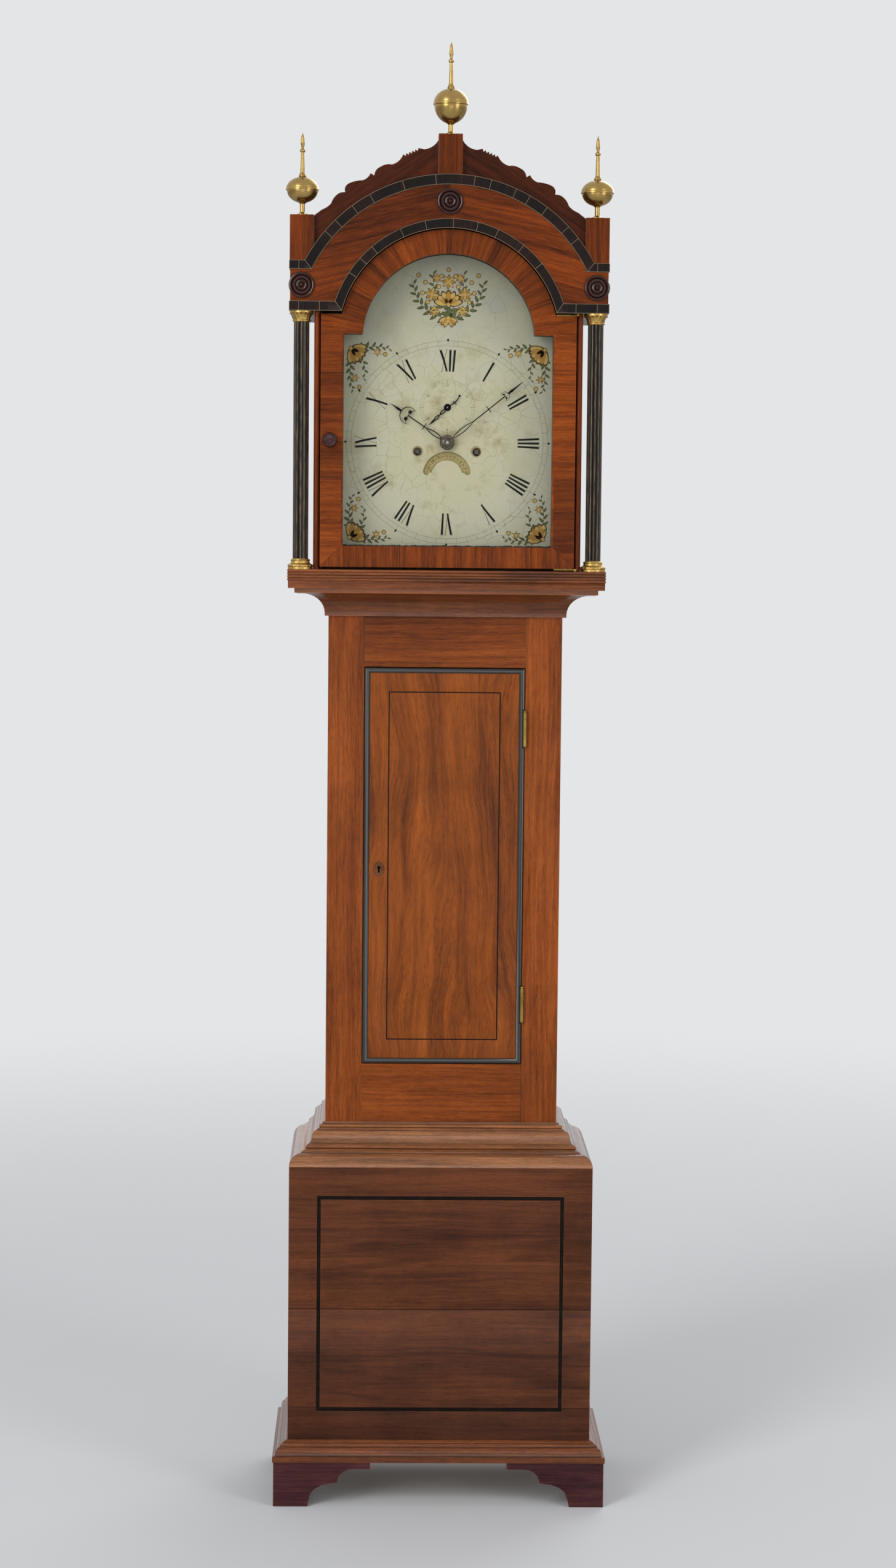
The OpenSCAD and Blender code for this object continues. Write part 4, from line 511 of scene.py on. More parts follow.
def dress(node, body, slot, finishes, width, seed, rule=None, cuts=(), form=None):
    """A wooden node made again with eased edges, joints where it has them, and a grain for each board."""
    form = form or copy_of(node)
    if width:
        ease(form, width)
    saw(form, cuts)
    lay_grain(form, seed, rule)
    piece(node + "_wood", form, finishes, body, slot, [node])


def saw(form, cuts):
    """Cuts what each cut wants at its plane and leaves a thin strip of another finish there."""
    for wanted, point, across, width, index in cuts:
        for side in (-0.5, 0.5):
            faces = [f for f in form.faces if wanted(f.calc_center_median())]
            edges = {e for f in faces for e in f.edges}
            verts = {v for f in faces for v in f.verts}
            bmesh.ops.bisect_plane(form, geom=list(verts) + list(edges) + faces, dist=1e-7,
                                   plane_co=point + across*width*side, plane_no=across)
        for face in form.faces:
            middle = face.calc_center_median()
            if wanted(middle) and abs((middle - point).dot(across)) < width*0.45:
                face.material_index = index


def steps(seed, first, last, shortest, longest):
    """Uneven steps from first to last, as a cabinet-maker cuts veneer."""
    chance = random.Random(seed)
    marks, here = [], first
    while True:
        here += chance.uniform(shortest, longest)
        if here > last - shortest*0.6:
            return marks
        marks.append(here)


# REPEATED DETAILS

class Recipe(Tree):
    """A Geometry Nodes tree being written, with named inputs."""

    def __init__(self, name, **inputs):
        super().__init__(bpy.data.node_groups.new(name, "GeometryNodeTree"), "GeometryNode")
        kinds = {"Shape": "Geometry", **inputs, "Place": "Vector", "Tilt": "Vector", "Finish": "Material"}
        self.sockets = {label: self.socket(label, "INPUT", kind) for label, kind in kinds.items()}
        self.socket("Shape", "OUTPUT", "Geometry")
        self.given = self.add("NodeGroupInput")

    def socket(self, label, way, kind):
        return self.tree.interface.new_socket(label, in_out=way, socket_type="NodeSocket" + kind)

    def maths(self, operation, a, b=0.0):
        return self.add("ShaderNodeMath", {0: a, 1: b}, operation=operation)[0]

    def turned(self, angle):
        return self.add("ShaderNodeCombineXYZ", {2: angle})[0]

    def pattern(self):
        return self.add("ObjectInfo", {"Object": self.given["Pattern"]})["Geometry"]

    def copies(self, points, shape, rotation, size=(1, 1, 1)):
        inputs = {"Points": points, "Instance": shape, "Rotation": rotation, "Scale": size}
        return self.add("InstanceOnPoints", inputs)[0]

    def end(self, shape):
        """Makes the copies real, stands the result in its place and gives it its finish."""
        real = self.add("RealizeInstances", {0: shape})[0]
        inputs = {"Geometry": real, "Translation": self.given["Place"], "Rotation": self.given["Tilt"]}
        moved = self.add("Transform", inputs)[0]
        done = self.add("SetMaterial", {"Geometry": moved, "Material": self.given["Finish"]})[0]
        self.add("NodeGroupOutput", {0: done})
        return self

    def make(self, start, **values):
        """Runs the tree on a start form and gives the plain mesh that comes out."""
        maker = stand("maker", mesh_of("start", start))
        step = maker.modifiers.new("recipe", "NODES")
        step.node_group = self.tree
        for label, value in values.items():
            step[self.sockets[label].identifier] = value
        ready = maker.evaluated_get(bpy.context.evaluated_depsgraph_get())
        made = bpy.data.meshes.new_from_object(ready)
        maker.modifiers.clear()
        bpy.data.objects.remove(maker)
        made.materials.clear()
        made.materials.append(values["Finish"])
        made.polygons.foreach_set("material_index", [0]*len(made.polygons))
        return made


def ring_recipe():
    """Copies of a small shape in a ring or a part of one."""
    recipe = Recipe("around_a_ring", Count="Int", First="Float", Step="Float")
    given = recipe.given
    points = recipe.add("Points", {"Count": given["Count"]})[0]
    number = recipe.add("InputIndex")[0]
    angle = recipe.maths("ADD", given["First"], recipe.maths("MULTIPLY", number, given["Step"]))
    return recipe.end(recipe.copies(points, given["Shape"], recipe.turned(angle)))


def spot_recipe():
    """Copies of a small shape at marked spots, each turned by chance about its own axis."""
    recipe = Recipe("at_marked_spots", Pattern="Object", Facing="Vector", Seed="Int")
    given = recipe.given
    copies = recipe.copies(given["Shape"], recipe.pattern(), given["Facing"])
    inputs = {2: 0.0, 3: TURN, "Seed": given["Seed"]}
    chance = recipe.add("FunctionNodeRandomValue", inputs, data_type="FLOAT")[1]
    return recipe.end(recipe.add("RotateInstances", {0: copies, "Rotation": recipe.turned(chance)})[0])


def spray_recipe():
    """Copies of a leaf along a drawn line, left and right in turn, smaller towards its end."""
    recipe = Recipe("along_a_line", Pattern="Object", Count="Int", Spread="Float", Last="Float")
    given = recipe.given
    line = recipe.add("MeshToCurve", {0: given["Shape"]})[0]
    even = recipe.add("ResampleCurve", {"Curve": line, "Count": given["Count"]})[0]
    ahead = recipe.add("InputTangent")[0]
    heading = recipe.add("FunctionNodeAlignRotationToVector", {"Vector": ahead}, axis="X")[0]
    share = recipe.add("SplineParameter")["Factor"]
    size = recipe.add("ShaderNodeMapRange", {"Value": share, "To Min": 1.0, "To Max": given["Last"]})[0]
    copies = recipe.copies(even, recipe.pattern(), heading, size)
    number = recipe.add("InputIndex")[0]
    side = recipe.maths("SUBTRACT", recipe.maths("MULTIPLY", recipe.maths("MODULO", number, 2.0), 2.0), 1.0)
    turned = recipe.turned(recipe.maths("MULTIPLY", side, given["Spread"]))
    return recipe.end(recipe.add("RotateInstances", {0: copies, "Rotation": turned})[0])


def stem_recipe():
    """A thin flattened stem along a drawn line."""
    recipe = Recipe("stem_along_a_line", Thickness="Float")
    line = recipe.add("MeshToCurve", {0: recipe.given["Shape"]})[0]
    ring = recipe.add("CurvePrimitiveCircle", {"Resolution": 6, "Radius": recipe.given["Thickness"]})[0]
    rod = recipe.add("CurveToMesh", {"Curve": line, "Profile Curve": ring, "Fill Caps": True})[0]
    return recipe.end(recipe.add("Transform", {"Geometry": rod, "Scale": (1, 1, 0.15)})[0])


RING = ring_recipe()
SPOTS = spot_recipe()
SPRAY = spray_recipe()
STEM = stem_recipe()


def around(shape, finish, count=1, step=0.0, first=0.0, place=DIAL_MIDDLE, tilt=UPRIGHT):
    """Copies in a ring, flat on the dial unless told otherwise."""
    return RING.make(shape, Count=count, First=first, Step=step, Place=place, Tilt=tilt, Finish=finish)


def circle(radius, count, up=0.0):
    return [(radius*math.cos(TURN*k/count), up + radius*math.sin(TURN*k/count)) for k in range(count)]


def prism(form, top, low):
    """Adds a closed thin shape between an outline and its like below it."""
    top = [form.verts.new(point) for point in top]
    low = [form.verts.new(point) for point in low]
    form.faces.new(top)
    form.faces.new(low[::-1])
    for i in range(len(top)):
        k = (i + 1) % len(top)
        form.faces.new((top[i], low[i], low[k], top[k]))


def flat_shape(outline, lift=0.0, thick=PAINT_ABOVE, form=None):
    """A thin closed shape drawn in X and Y, whose face lies at height lift plus thick."""
    form = form or bmesh.new()
    prism(form, [(x, y, lift + thick) for x, y in outline], [(x, y, lift - PAINT_BELOW) for x, y in outline])
    return form


def marks(points, joined=False):
    """Bare points, or a line through them."""
    form = bmesh.new()
    spots = [form.verts.new((*point, 0.0)[:3]) for point in points]
    for pair in zip(spots, spots[1:]) if joined else ():
        form.edges.new(pair)
    return form


def pattern(name, form):
    """A shape for the trees to copy; it is taken away before the scene ends."""
    return stand(name, mesh_of(name, form))


def gather(name, meshes, finishes, body, slot, smooth=20):
    """Joins meshes of one finish each into a piece."""
    form = bmesh.new()
    for mesh in meshes:
        first, index = len(form.faces), finishes.index(mesh.materials[0])
        take_in(form, mesh)
        form.faces.ensure_lookup_table()
        for face in form.faces[first:]:
            face.material_index = index
    piece(name, form, finishes, body, slot, smooth=smooth)


# CASE

def along_arch(radius):
    """Grain that points out from the middle of the arch, as in cross-banding."""
    return lambda co: (math.hypot(co.x, co.z - ARCH_Z), math.atan2(co.x, co.z - ARCH_Z)*radius, co.y)


def sloping(degrees):
    """Grain of a board that rises towards the middle of the clock."""
    cosine, sine = math.cos(math.radians(degrees)), math.sin(math.radians(degrees))

    def where(co):
        side = -1 if co.x > 0 else 1
        return (co.x*cosine + side*co.z*sine, co.z*cosine - side*co.x*sine, co.y)
    return where


along_x, along_y, along_z = (lengthwise(*AXIS_ORDER[axis]) for axis in "XYZ")


def everywhere(_):
    return True


def spoke_cuts(angles, wanted, width, index):
    """Joints that point at the middle of the arch."""
    turns = [math.radians(a) for a in angles]
    return [(wanted, UP*ARCH_Z, Vector((math.cos(a), 0, -math.sin(a))), width, index) for a in turns]


def cuts_at(axis, places, wanted, width, index):
    return [(wanted, axis*place, axis, width, index) for place in places]


PLINTH_JOINT = 0.141
BASE_JOINT = 0.2861
WAIST_TOP = 0.9
BASE_SIDE_X = 0.19
BASE_SIDE_HEIGHT = 0.25
DOOR_STRING_REACH = 0.095


def base_rule(face):
    height = face.calc_center_median().z
    if height < PLINTH_JOINT:
        return along_x, 0.0, 1
    return (along_x, 0.75, 2) if height > BASE_JOINT else (along_x, 0.6, 3)


def dress_base_sides():
    """The base's sides show; its floor and glue blocks are plain pine."""
    form = copy_of("base_carcase")
    for board in boards_of(form):
        points = [vert.co for face in board for vert in face.verts]
        tall = max(p.z for p in points) - min(p.z for p in points) > BASE_SIDE_HEIGHT
        for face in board:
            face.material_index = 0 if tall and max(abs(p.x) for p in points) > BASE_SIDE_X else 1
    lay_grain(form, 26)
    piece("base_carcase_wood", form, [BASE_WOOD, CARCASE_X], "case", "dark_mahogany", ["base_carcase"])


def dress_door_edge():
    """The glossy bead round the door, and the flat string let into its face."""
    form = copy_of("trunk_door_ebony")
    for board in boards_of(form):
        inner = max(abs(v.co.x) for face in board for v in face.verts) < DOOR_STRING_REACH
        for face in board:
            face.material_index = 1 if inner else 0
    piece("trunk_door_ebony_wood", form, [BEAD, STRING], "trunk_door", "ebonised", ["trunk_door_ebony"])


mouldings = copy_of("trunk_mouldings")
for one in mouldings.faces:
    one.material_index = 2 if one.calc_center_median().z < WAIST_TOP else 0
base_cuts = cuts_at(UP, [PLINTH_JOINT], everywhere, 0.0006, 2)
base_cuts += cuts_at(UP, [BASE_JOINT], everywhere, 0.0011, 2)
dress("trunk_front_frame", "case", "mahogany", [MAHOGANY, MAHOGANY_EDGE_WEAR_AND_HIGHLIGHT], 0.0004, 11)
dress("trunk_sides", "case", "mahogany", [MAHOGANY, MAHOGANY_EDGE_WEAR_AND_HIGHLIGHT], 0.0005, 12)
dress("trunk_mouldings", "case", "mahogany", [MOULD_WOOD, MAHOGANY_EDGE_WEAR_AND_HIGHLIGHT, WAIST_WOOD], 0.0002, 13,
      form=mouldings)
dress("base_front", "case", "dark_mahogany", [BASE_WOOD, BASE_EDGE_WEAR_AND_HIGHLIGHT, JOINT], 0.0005, 14, base_rule, base_cuts)
dress("skirt_moulding", "case", "dark_mahogany", [MOULD_WOOD, BASE_EDGE_WEAR_AND_HIGHLIGHT], 0.0003, 16)
dress("bracket_feet", "case", "dark_mahogany", [FOOT_WOOD, BASE_EDGE_WEAR_AND_HIGHLIGHT], 0.0006, 17)
dress("trunk_door_board", "trunk_door", "flame_mahogany", [FLAME, MAHOGANY_EDGE_WEAR_AND_HIGHLIGHT], 0.0003, 18)
dress_base_sides()
dress_door_edge()


# HOOD

SIGHT_X = 0.151
SIGHT_LOW = 1.3885
SPRING_Z = 1.6915
DOOR_ARCH_RADIUS = 0.14
BOARD_BACK_Y = -0.09
VENEER_GAP = 0.0004
SEAMLESS = 0.00001
ARCH_JOINTS = steps(31, -85, 85, 6, 13)
STILE_JOINTS = steps(36, SIGHT_LOW, SPRING_Z, 0.07, 0.15)
RAIL_JOINTS = steps(33, -SIGHT_X, SIGHT_X, 0.05, 0.11)


def in_arch(middle):
    return middle.z > SPRING_Z


def in_stile(middle):
    return abs(middle.x) > SIGHT_X and SIGHT_LOW < middle.z < SPRING_Z


def in_rail(middle):
    return abs(middle.x) < SIGHT_X and middle.z < SIGHT_LOW


def in_corner(middle):
    return abs(middle.x) > SIGHT_X and middle.z < SIGHT_LOW


def arch_angle(middle):
    return math.degrees(math.atan2(middle.x, middle.z - ARCH_Z))


def door_rule(face):
    """Veneer across the door's frame: outwards in the arch, sideways in the stiles, upright in the rail."""
    middle = face.calc_center_median()
    if in_arch(middle):
        return along_arch(DOOR_ARCH_RADIUS), None, 100 + bisect.bisect(ARCH_JOINTS, arch_angle(middle))
    if in_rail(middle) or in_corner(middle) and SIGHT_LOW - middle.z > abs(middle.x) - SIGHT_X:
        return along_z, None, 200 + bisect.bisect(RAIL_JOINTS, middle.x)
    return along_x, None, (300 if middle.x > 0 else 400) + bisect.bisect(STILE_JOINTS, middle.z)


def corner_mitre(side):
    def wanted(middle):
        return in_corner(middle) and middle.x*side > 0
    return (wanted, Vector((side*SIGHT_X, 0, SIGHT_LOW)), Vector((side, 0, 1)).normalized(), VENEER_GAP, 2)


door_cuts = cuts_at(UP, [SIGHT_LOW, SPRING_Z], everywhere, SEAMLESS, 0)
door_cuts += cuts_at(ACROSS, [-SIGHT_X, SIGHT_X], everywhere, SEAMLESS, 0)
door_cuts += spoke_cuts(ARCH_JOINTS, in_arch, VENEER_GAP, 2)
door_cuts += cuts_at(UP, STILE_JOINTS, in_stile, VENEER_GAP, 2)
door_cuts += cuts_at(ACROSS, RAIL_JOINTS, in_rail, VENEER_GAP, 2) + [corner_mitre(-1), corner_mitre(1)]
dress("hood_door_frame", "hood_door", "mahogany", [DOOR_CROSS, HOOD_EDGE_WEAR_AND_HIGHLIGHT, JOINT], 0.0004, 25, door_rule,
      door_cuts)

# A dark band: foot and head of its level ends, where and how steeply these are mitred against the arch,
# then the radius that its grain is measured at, the arch's joints, and the first key of the arch's pieces
Band = namedtuple("Band", "foot head mitre slope radius joints key")
LOWER = Band(1.719, 1.7335, 0.1516, 0.726, 0.16, steps(41, -67, 67, 6, 17), 100)
UPPER = Band(1.777, 1.7900, 0.1944, 0.784, 0.224, steps(42, -61, 61, 5, 15), 200)
BAND_DIVIDE = 0.19
LOWER_TOP = 1.86
BAND_GAP = 0.0005
BAND_BACK_Y = -0.0905
BAND_FRONT_Y = -0.1
FLAT_JOINTS = [-0.2125, -0.183, 0.179, 0.209]


def band_of(middle):
    lower = middle.z < LOWER.head or math.hypot(middle.x, middle.z - ARCH_Z) < BAND_DIVIDE
    return LOWER if lower else UPPER


def in_flat(middle):
    band = band_of(middle)
    return middle.z < band.head and abs(middle.x) > band.mitre + (middle.z - band.foot)*band.slope


def in_bend(middle):
    return not in_flat(middle)


def band_rule(face):
    middle = face.calc_center_median()
    if middle.y > BAND_BACK_Y:
        return along_z, None, 10 + int(middle.y*25)
    band = band_of(middle)
    if in_flat(middle):
        return along_z, None, (40 if band is LOWER else 30) + bisect.bisect(FLAT_JOINTS, middle.x)
    return along_arch(band.radius), None, band.key + bisect.bisect(band.joints, arch_angle(middle))


def banding():
    """The two dark bands, cut into their pieces; each band and each return is worked alone."""
    whole = bmesh.new()
    for number in range(6):
        form = copy_of("arch_mouldings")
        boards = sorted(boards_of(form), key=lambda b: min((v.co.y, v.co.z) for f in b for v in f.verts))
        away = [f for i, board in enumerate(boards) for f in board if i != number]
        bmesh.ops.delete(form, geom=away, context="FACES")
        ease(form, 0.0006)
        if min(v.co.y for v in form.verts) < BAND_FRONT_Y:
            band = LOWER if max(v.co.z for v in form.verts) < LOWER_TOP else UPPER
            saw(form, [(everywhere, Vector((side*band.mitre, 0, band.foot)),
                        Vector((side, 0, -band.slope)).normalized(), BAND_GAP, 1) for side in (-1, 1)])
            saw(form, spoke_cuts(band.joints, in_bend, BAND_GAP, 1))
            saw(form, cuts_at(ACROSS, FLAT_JOINTS, in_flat, BAND_GAP, 1))
        take_in(whole, mesh_of("band", form))
    return whole


def sloped_rule(degrees):
    def rule(face):
        middle = face.calc_center_median()
        if middle.y > BOARD_BACK_Y:
            return along_y, None, 5
        return sloping(degrees), 0.6, 1 if middle.x > 0 else 2
    return rule


half = cuts_at(ACROSS, [0], everywhere, 0.0002, 2)
dress("arch_mouldings", "hood", "ebonised", [BANDING, EDGE_HIGHLIGHT_AND_JOINT_LINE], 0, 22, band_rule, form=banding())
dress("hood_frieze", "hood", "mahogany", [HOOD_WOOD, HOOD_EDGE_WEAR_AND_HIGHLIGHT, JOINT], 0.0003, 21, sloped_rule(13), half)
dress("hood_cresting", "hood", "dark_mahogany", [CREST_WOOD, HOOD_EDGE_WEAR_AND_HIGHLIGHT], 0.0004, 23, sloped_rule(33))
dress("hood_sides", "hood", "mahogany", [HOOD_WOOD, HOOD_EDGE_WEAR_AND_HIGHLIGHT], 0.0003, 19)
dress("hood_base_frame", "hood", "mahogany", [MOULD_WOOD, HOOD_EDGE_WEAR_AND_HIGHLIGHT], 0.0002, 20)
dress("finial_blocks", "hood", "mahogany", [HOOD_WOOD, HOOD_EDGE_WEAR_AND_HIGHLIGHT], 0.0005, 24, lambda face: (along_z, 0.3, 1))

finished = [
    (CARCASE_Z, "backboard"), (CARCASE_X, "seatboard"), (CARCASE_Y, "hood_roof"),
    (STRING, "base_stringing"), (DARK_TURNED, "roundels"), (REED, "column_shafts"),
    (LEAF_BRASS, "column_brasses"), (BALL_BRASS, "finials"), (MASK, "dial_mask"),
    (GLASS, "hood_door_glass"), (KNOB, "hood_door_knob"), (ENAMEL, "dial"), (BELL, "bell"),
    (CALENDAR, "date_disc"), (PLATE_BRASS, "door_lock"), (GUT, "going_line strike_line"),
    (BLUED, "lock_bolt hour_hand seconds_hand"), (BRASS, "movement_frame back_cock fly"),
    (STEEL, "hammer pallet_anchor pendulum_rod"),
    (OLD_BRASS, "door_hinge_plates door_hinge_leaves hood_door_straps"),
    (OLD_BRASS, "pendulum_bob going_weight strike_weight"),
]
# Turning parts: place of the axis on the dial, radius of the inner metal, then colours where they differ
turning = {
    "going_barrel": (WINDING_X, WINDING_Z, 0.0048, "55524e"), "centre_wheel": (0, 0, 0.0058),
    "strike_barrel": (-WINDING_X, WINDING_Z, 0.0048, "55524e"), "third_wheel": (0.01006, 0.02709, 0.0046),
    "escape_wheel": (0, SECONDS_UP, 0.0040), "cannon_wheel": (0, 0, 0.0043),
    "minute_wheel": (0, -0.040, 0.0036),
    "minute_hand": (0, 0, 0.0106, "625b4d", "1d1917", "0d0b0b"), "hour_wheel": (0, 0, 0.0050),
    "pin_wheel": (-0.04969, 0.02777, 0.0047), "gathering_wheel": (-0.03619, 0.05115, 0.0040),
    "warning_wheel": (-0.02050, 0.06431, 0.0034),
}
finished += [(wheelwork(node + "_metal", *where), node) for node, where in turning.items()]
for finish, nodes in finished:
    for node in nodes.split():
        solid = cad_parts[node]
        solid.data.materials.clear()
        solid.data.materials.append(finish)


def brass_leaf(rows, back):
    """A raised leaf that stands on a turned brass; each row is radius, height and half width."""
    form = bmesh.new()
    made = []
    for radius, height, half_width in rows:
        outline = ((0, -1), (0.16, -0.55), (0.34, 0), (0.16, 0.55), (0, 1))
        row = [(radius + half_width*out, half_width*side, height) for out, side in outline]
        made.append([form.verts.new(p) for p in row + [(radius - back, 0, height)]])
    for a, b in zip(made, made[1:]):
        for k in range(6):
            m = (k + 1) % 6
            form.faces.new((a[k], a[m], b[m], b[k]))
    form.faces.new(made[0][::-1])
    form.faces.new(made[-1])
    bmesh.ops.recalc_face_normals(form, faces=form.faces)
    return form


CAPITAL_Z = 1.704
COLUMN_FOOT_Z = 1.355
FRONT_PLATE_Y = WALL_Y - 0.1432
ESCUTCHEON_Y = WALL_Y - 0.1861


def column_leaves():
    """Upright leaves on the capitals and lobes on the bases, from profiles in mm."""
    mm = 0.001
    head = [(11.6, 2.6, 1.4), (12.0, 5.2, 2.0), (12.7, 7.6, 2.3), (14.0, 9.8, 2.5), (15.7, 11.4, 2.3),
            (16.8, 11.5, 1.6), (17.1, 10.8, 0.7)]
    foot = [(12.9, 10.9, 1.5), (12.8, 9.3, 2.0), (13.6, 7.9, 2.2), (15.4, 7.2, 2.4), (17.2, 6.2, 2.5),
            (17.7, 4.6, 2.3), (17.4, 3.3, 1.5)]
    made = []
    for side in (-1, 1):
        for rows, height in ((head, CAPITAL_Z), (foot, COLUMN_FOOT_Z)):
            leaf = brass_leaf([(r*mm, z*mm, w*mm) for r, z, w in rows], 1.2*mm)
            place = (side*COLUMN_X, COLUMN_Y, height)
            made.append(around(leaf, LEAF_BRASS, 16, TURN/16, TURN/32, place, NOT_TILTED))
    gather("column_leaves", made, [LEAF_BRASS], "hood", "dark_brass", 50)


def box_outline(half_width, low, high):
    return [(-half_width, low), (half_width, low), (half_width, high), (-half_width, high)]


def screw_head(radius, height):
    """A low round head with a sawn slot."""
    form = bmesh.new()
    half_slot = radius*0.13
    right = [p for p in circle(radius, 16) if p[0] > half_slot]
    right.sort(key=lambda p: math.atan2(p[1], p[0]))
    rim = math.sqrt(radius**2 - half_slot**2)
    for side in (1, -1):
        outline = [(half_slot, -rim)] + right + [(half_slot, rim)]
        flat_shape([(side*x, side*y) for x, y in outline], 0, height, form)
    flat_shape(box_outline(half_slot, -rim, rim), 0, height*0.4, form)
    return form


def small_metalwork():
    """Screws of the movement's plates, pins of the escutcheon and nails of the backboard."""
    pillars = ((-0.068, 0.087), (0.068, 0.087), (-0.034, -0.072), (0.034, -0.072))
    plates = [(x, FRONT_PLATE_Y, DIAL_Z + z) for x, z in pillars]
    lock = [(-0.0926, ESCUTCHEON_Y, LOCK_Z + up) for up in (-0.0098, 0.0098)]
    trunk_and_base = ((0.150, 0.56, 0.118, 7), (0.205, 0.12, 0.116, 4))
    back = [(side*x, WALL_Y, lowest + apart*k) for x, lowest, apart, count in trunk_and_base
            for k in range(count) for side in (-1, 1)]
    for name, places, radius, height, facing, seed, finish, body, slot in (
        ("plate_screws", plates, 0.0026, 0.0007, math.pi/2, 3, STEEL, "case", "steel"),
        ("escutcheon_pins", lock, 0.0009, 0.0002, math.pi/2, 4, PLATE_BRASS, "trunk_door", "dark_brass"),
        ("backboard_nails", back, 0.0030, 0.00002, -math.pi/2, 5, STEEL, "case", "steel"),
    ):
        head = pattern("head", screw_head(radius, height))
        made = SPOTS.make(marks(places), Pattern=head, Facing=(facing, 0.0, 0.0), Seed=seed, Finish=finish,
                          Place=(0.0, 0.0, 0.0), Tilt=NOT_TILTED)
        gather(name, [made], [finish], body, slot)
        bpy.data.objects.remove(head)


column_leaves()
small_metalwork()


# DIAL PAINTING

ON_DIAL = {"Place": DIAL_MIDDLE, "Tilt": UPRIGHT}


def oval(long, wide, count, tip=1.0, lean=0.0):
    """A leaf or petal outline that starts at the origin and points along X; tip above 1 makes it pointed."""
    points = []
    for k in range(count):
        turn = TURN*k/count
        x = 0.5 - 0.5*math.cos(turn)
        y = math.sin(turn)*0.5*(1 - x**tip*0.55 if tip > 1 else 1)
        points.append((long*x, wide*y + lean*x*x*long))
    return points


def flat_ring(inner, outer, count, form):
    """Adds a closed flat ring on the dial's plane."""
    corners = ((inner, -PAINT_BELOW), (outer, -PAINT_BELOW), (outer, PAINT_ABOVE), (inner, PAINT_ABOVE))
    rows = [[form.verts.new((x, y, height)) for x, y in circle(radius, count)] for radius, height in corners]
    for a, b in zip(rows, rows[1:] + rows[:1]):
        for k in range(count):
            m = (k + 1) % count
            form.faces.new((a[k], b[k], b[m], a[m]))


# Width of each letter and its strokes, in mm: left and right at the foot, the same at the head, thick or not
LETTERS = {
    "I": (5.6, [(1.35, 4.25, 1.35, 4.25, True)]),
    "V": (11.4, [(5.2, 8.0, 0.7, 3.7, True), (6.3, 6.8, 9.5, 10.2, False)]),
    "X": (12.2, [(8.5, 11.5, 0.7, 3.7, True), (1.6, 2.2, 10.0, 10.6, False)]),
}


def numeral_strokes(letters):
    """The strokes of a numeral, moved so that its middle is at 0."""
    start = -sum(LETTERS[c][0] for c in letters)/2
    for c in letters:
        width, strokes = LETTERS[c]
        for *sides, thick in strokes:
            yield [start + side for side in sides], thick
        start += width


def paint_numerals():
    """Twelve numerals whose heads point outwards, with fine bars at head and foot."""
    form = bmesh.new()
    low, high, middle, bar = 0.1015, 0.1325, 0.1175, 0.0004
    numerals = "XII I II III IIII V VI VII VIII IX X XI".split()

    def place(x, radius, hour, y):
        turn = math.radians(hour*30 + math.degrees(x*0.001/middle))
        return (radius*math.sin(turn), y, DIAL_Z + radius*math.cos(turn))

    def stroke(outline, hour, coats):
        prism(form, *([place(x, radius, hour, y) for x, radius in outline]
                      for y in (DIAL_FACE - coats*COAT, DIAL_FACE + PAINT_BELOW)))

    for hour, text in enumerate(numerals):
        for (a, b, c, d), thick in numeral_strokes(text):
            foot, length = low + bar, high - low - 2*bar
            left = [(a + (c - a)*k/6, foot + length*k/6) for k in range(7)]
            right = [(b + (d - b)*k/6, foot + length*k/6) for k in range(7)]
            stroke(left + right[::-1], hour, 6)
            half_bar = 1.9 if thick else 1.4
            for radius, x in ((low, (a + b)/2), (high, (c + d)/2)):
                outline = [(x + along, out) for along, out in box_outline(half_bar, radius, radius + bar)]
                stroke(outline, hour, 5)
    bmesh.ops.recalc_face_normals(form, faces=form.faces)
    piece("hour_numerals", form, [NUMERAL], "case", "dial_paint")


def paint_rings():
    """Circles, minute and second strokes and the small diamonds at the hours."""
    circles, small = bmesh.new(), bmesh.new()
    inside, outside, half_line = 0.138, 0.145, 0.00016
    small_in, small_out = 0.0352, 0.0393
    for radius in (inside, outside):
        flat_ring(radius - half_line, radius + half_line, 240, circles)
    for inner, outer in ((0.0392, 0.0394), (0.0352, 0.03535)):
        flat_ring(inner, outer, 120, small)
    diamond = flat_shape([(0.0017, 0.1462), (0, 0.1488), (-0.0017, 0.1462), (0, 0.1436)], PAINT_BELOW)
    minute, hour = -TURN/60, -TURN/12
    seconds = {"place": SECONDS_MIDDLE}
    made = [
        around(circles, HAIRLINE),
        around(flat_shape(box_outline(0.00013, inside, outside)), HAIRLINE, 60, minute),
        around(diamond, NUMERAL, 12, hour),
        around(small, HAIRLINE, **seconds),
        around(flat_shape(box_outline(0.00009, small_in, small_out)), HAIRLINE, 60, minute, **seconds),
        around(flat_shape(box_outline(0.00022, 0.0336, small_out)), HAIRLINE, 12, hour, **seconds),
    ]
    gather("minute_and_seconds_rings", made, [HAIRLINE, NUMERAL], "case", "dial_paint")


FONT_PER_FIGURE = 1.4


def written(text, height, radius, turn, lift):
    """A generic number as a flat mesh on the dial's plane, its head away from the middle."""
    letters = bpy.data.curves.new("figures", "FONT")
    letters.body = text
    letters.size = height*FONT_PER_FIGURE
    letters.align_x = "CENTER"
    letters.extrude = PAINT_BELOW
    letters.resolution_u = 3
    holder = stand("figures", letters)
    ready = holder.evaluated_get(bpy.context.evaluated_depsgraph_get())
    mesh = bpy.data.meshes.new_from_object(ready)
    bpy.data.objects.remove(holder)
    mesh.transform(Matrix.Rotation(turn, 4, "Z") @ Matrix.Translation((0, radius - height/2, lift)))
    return mesh


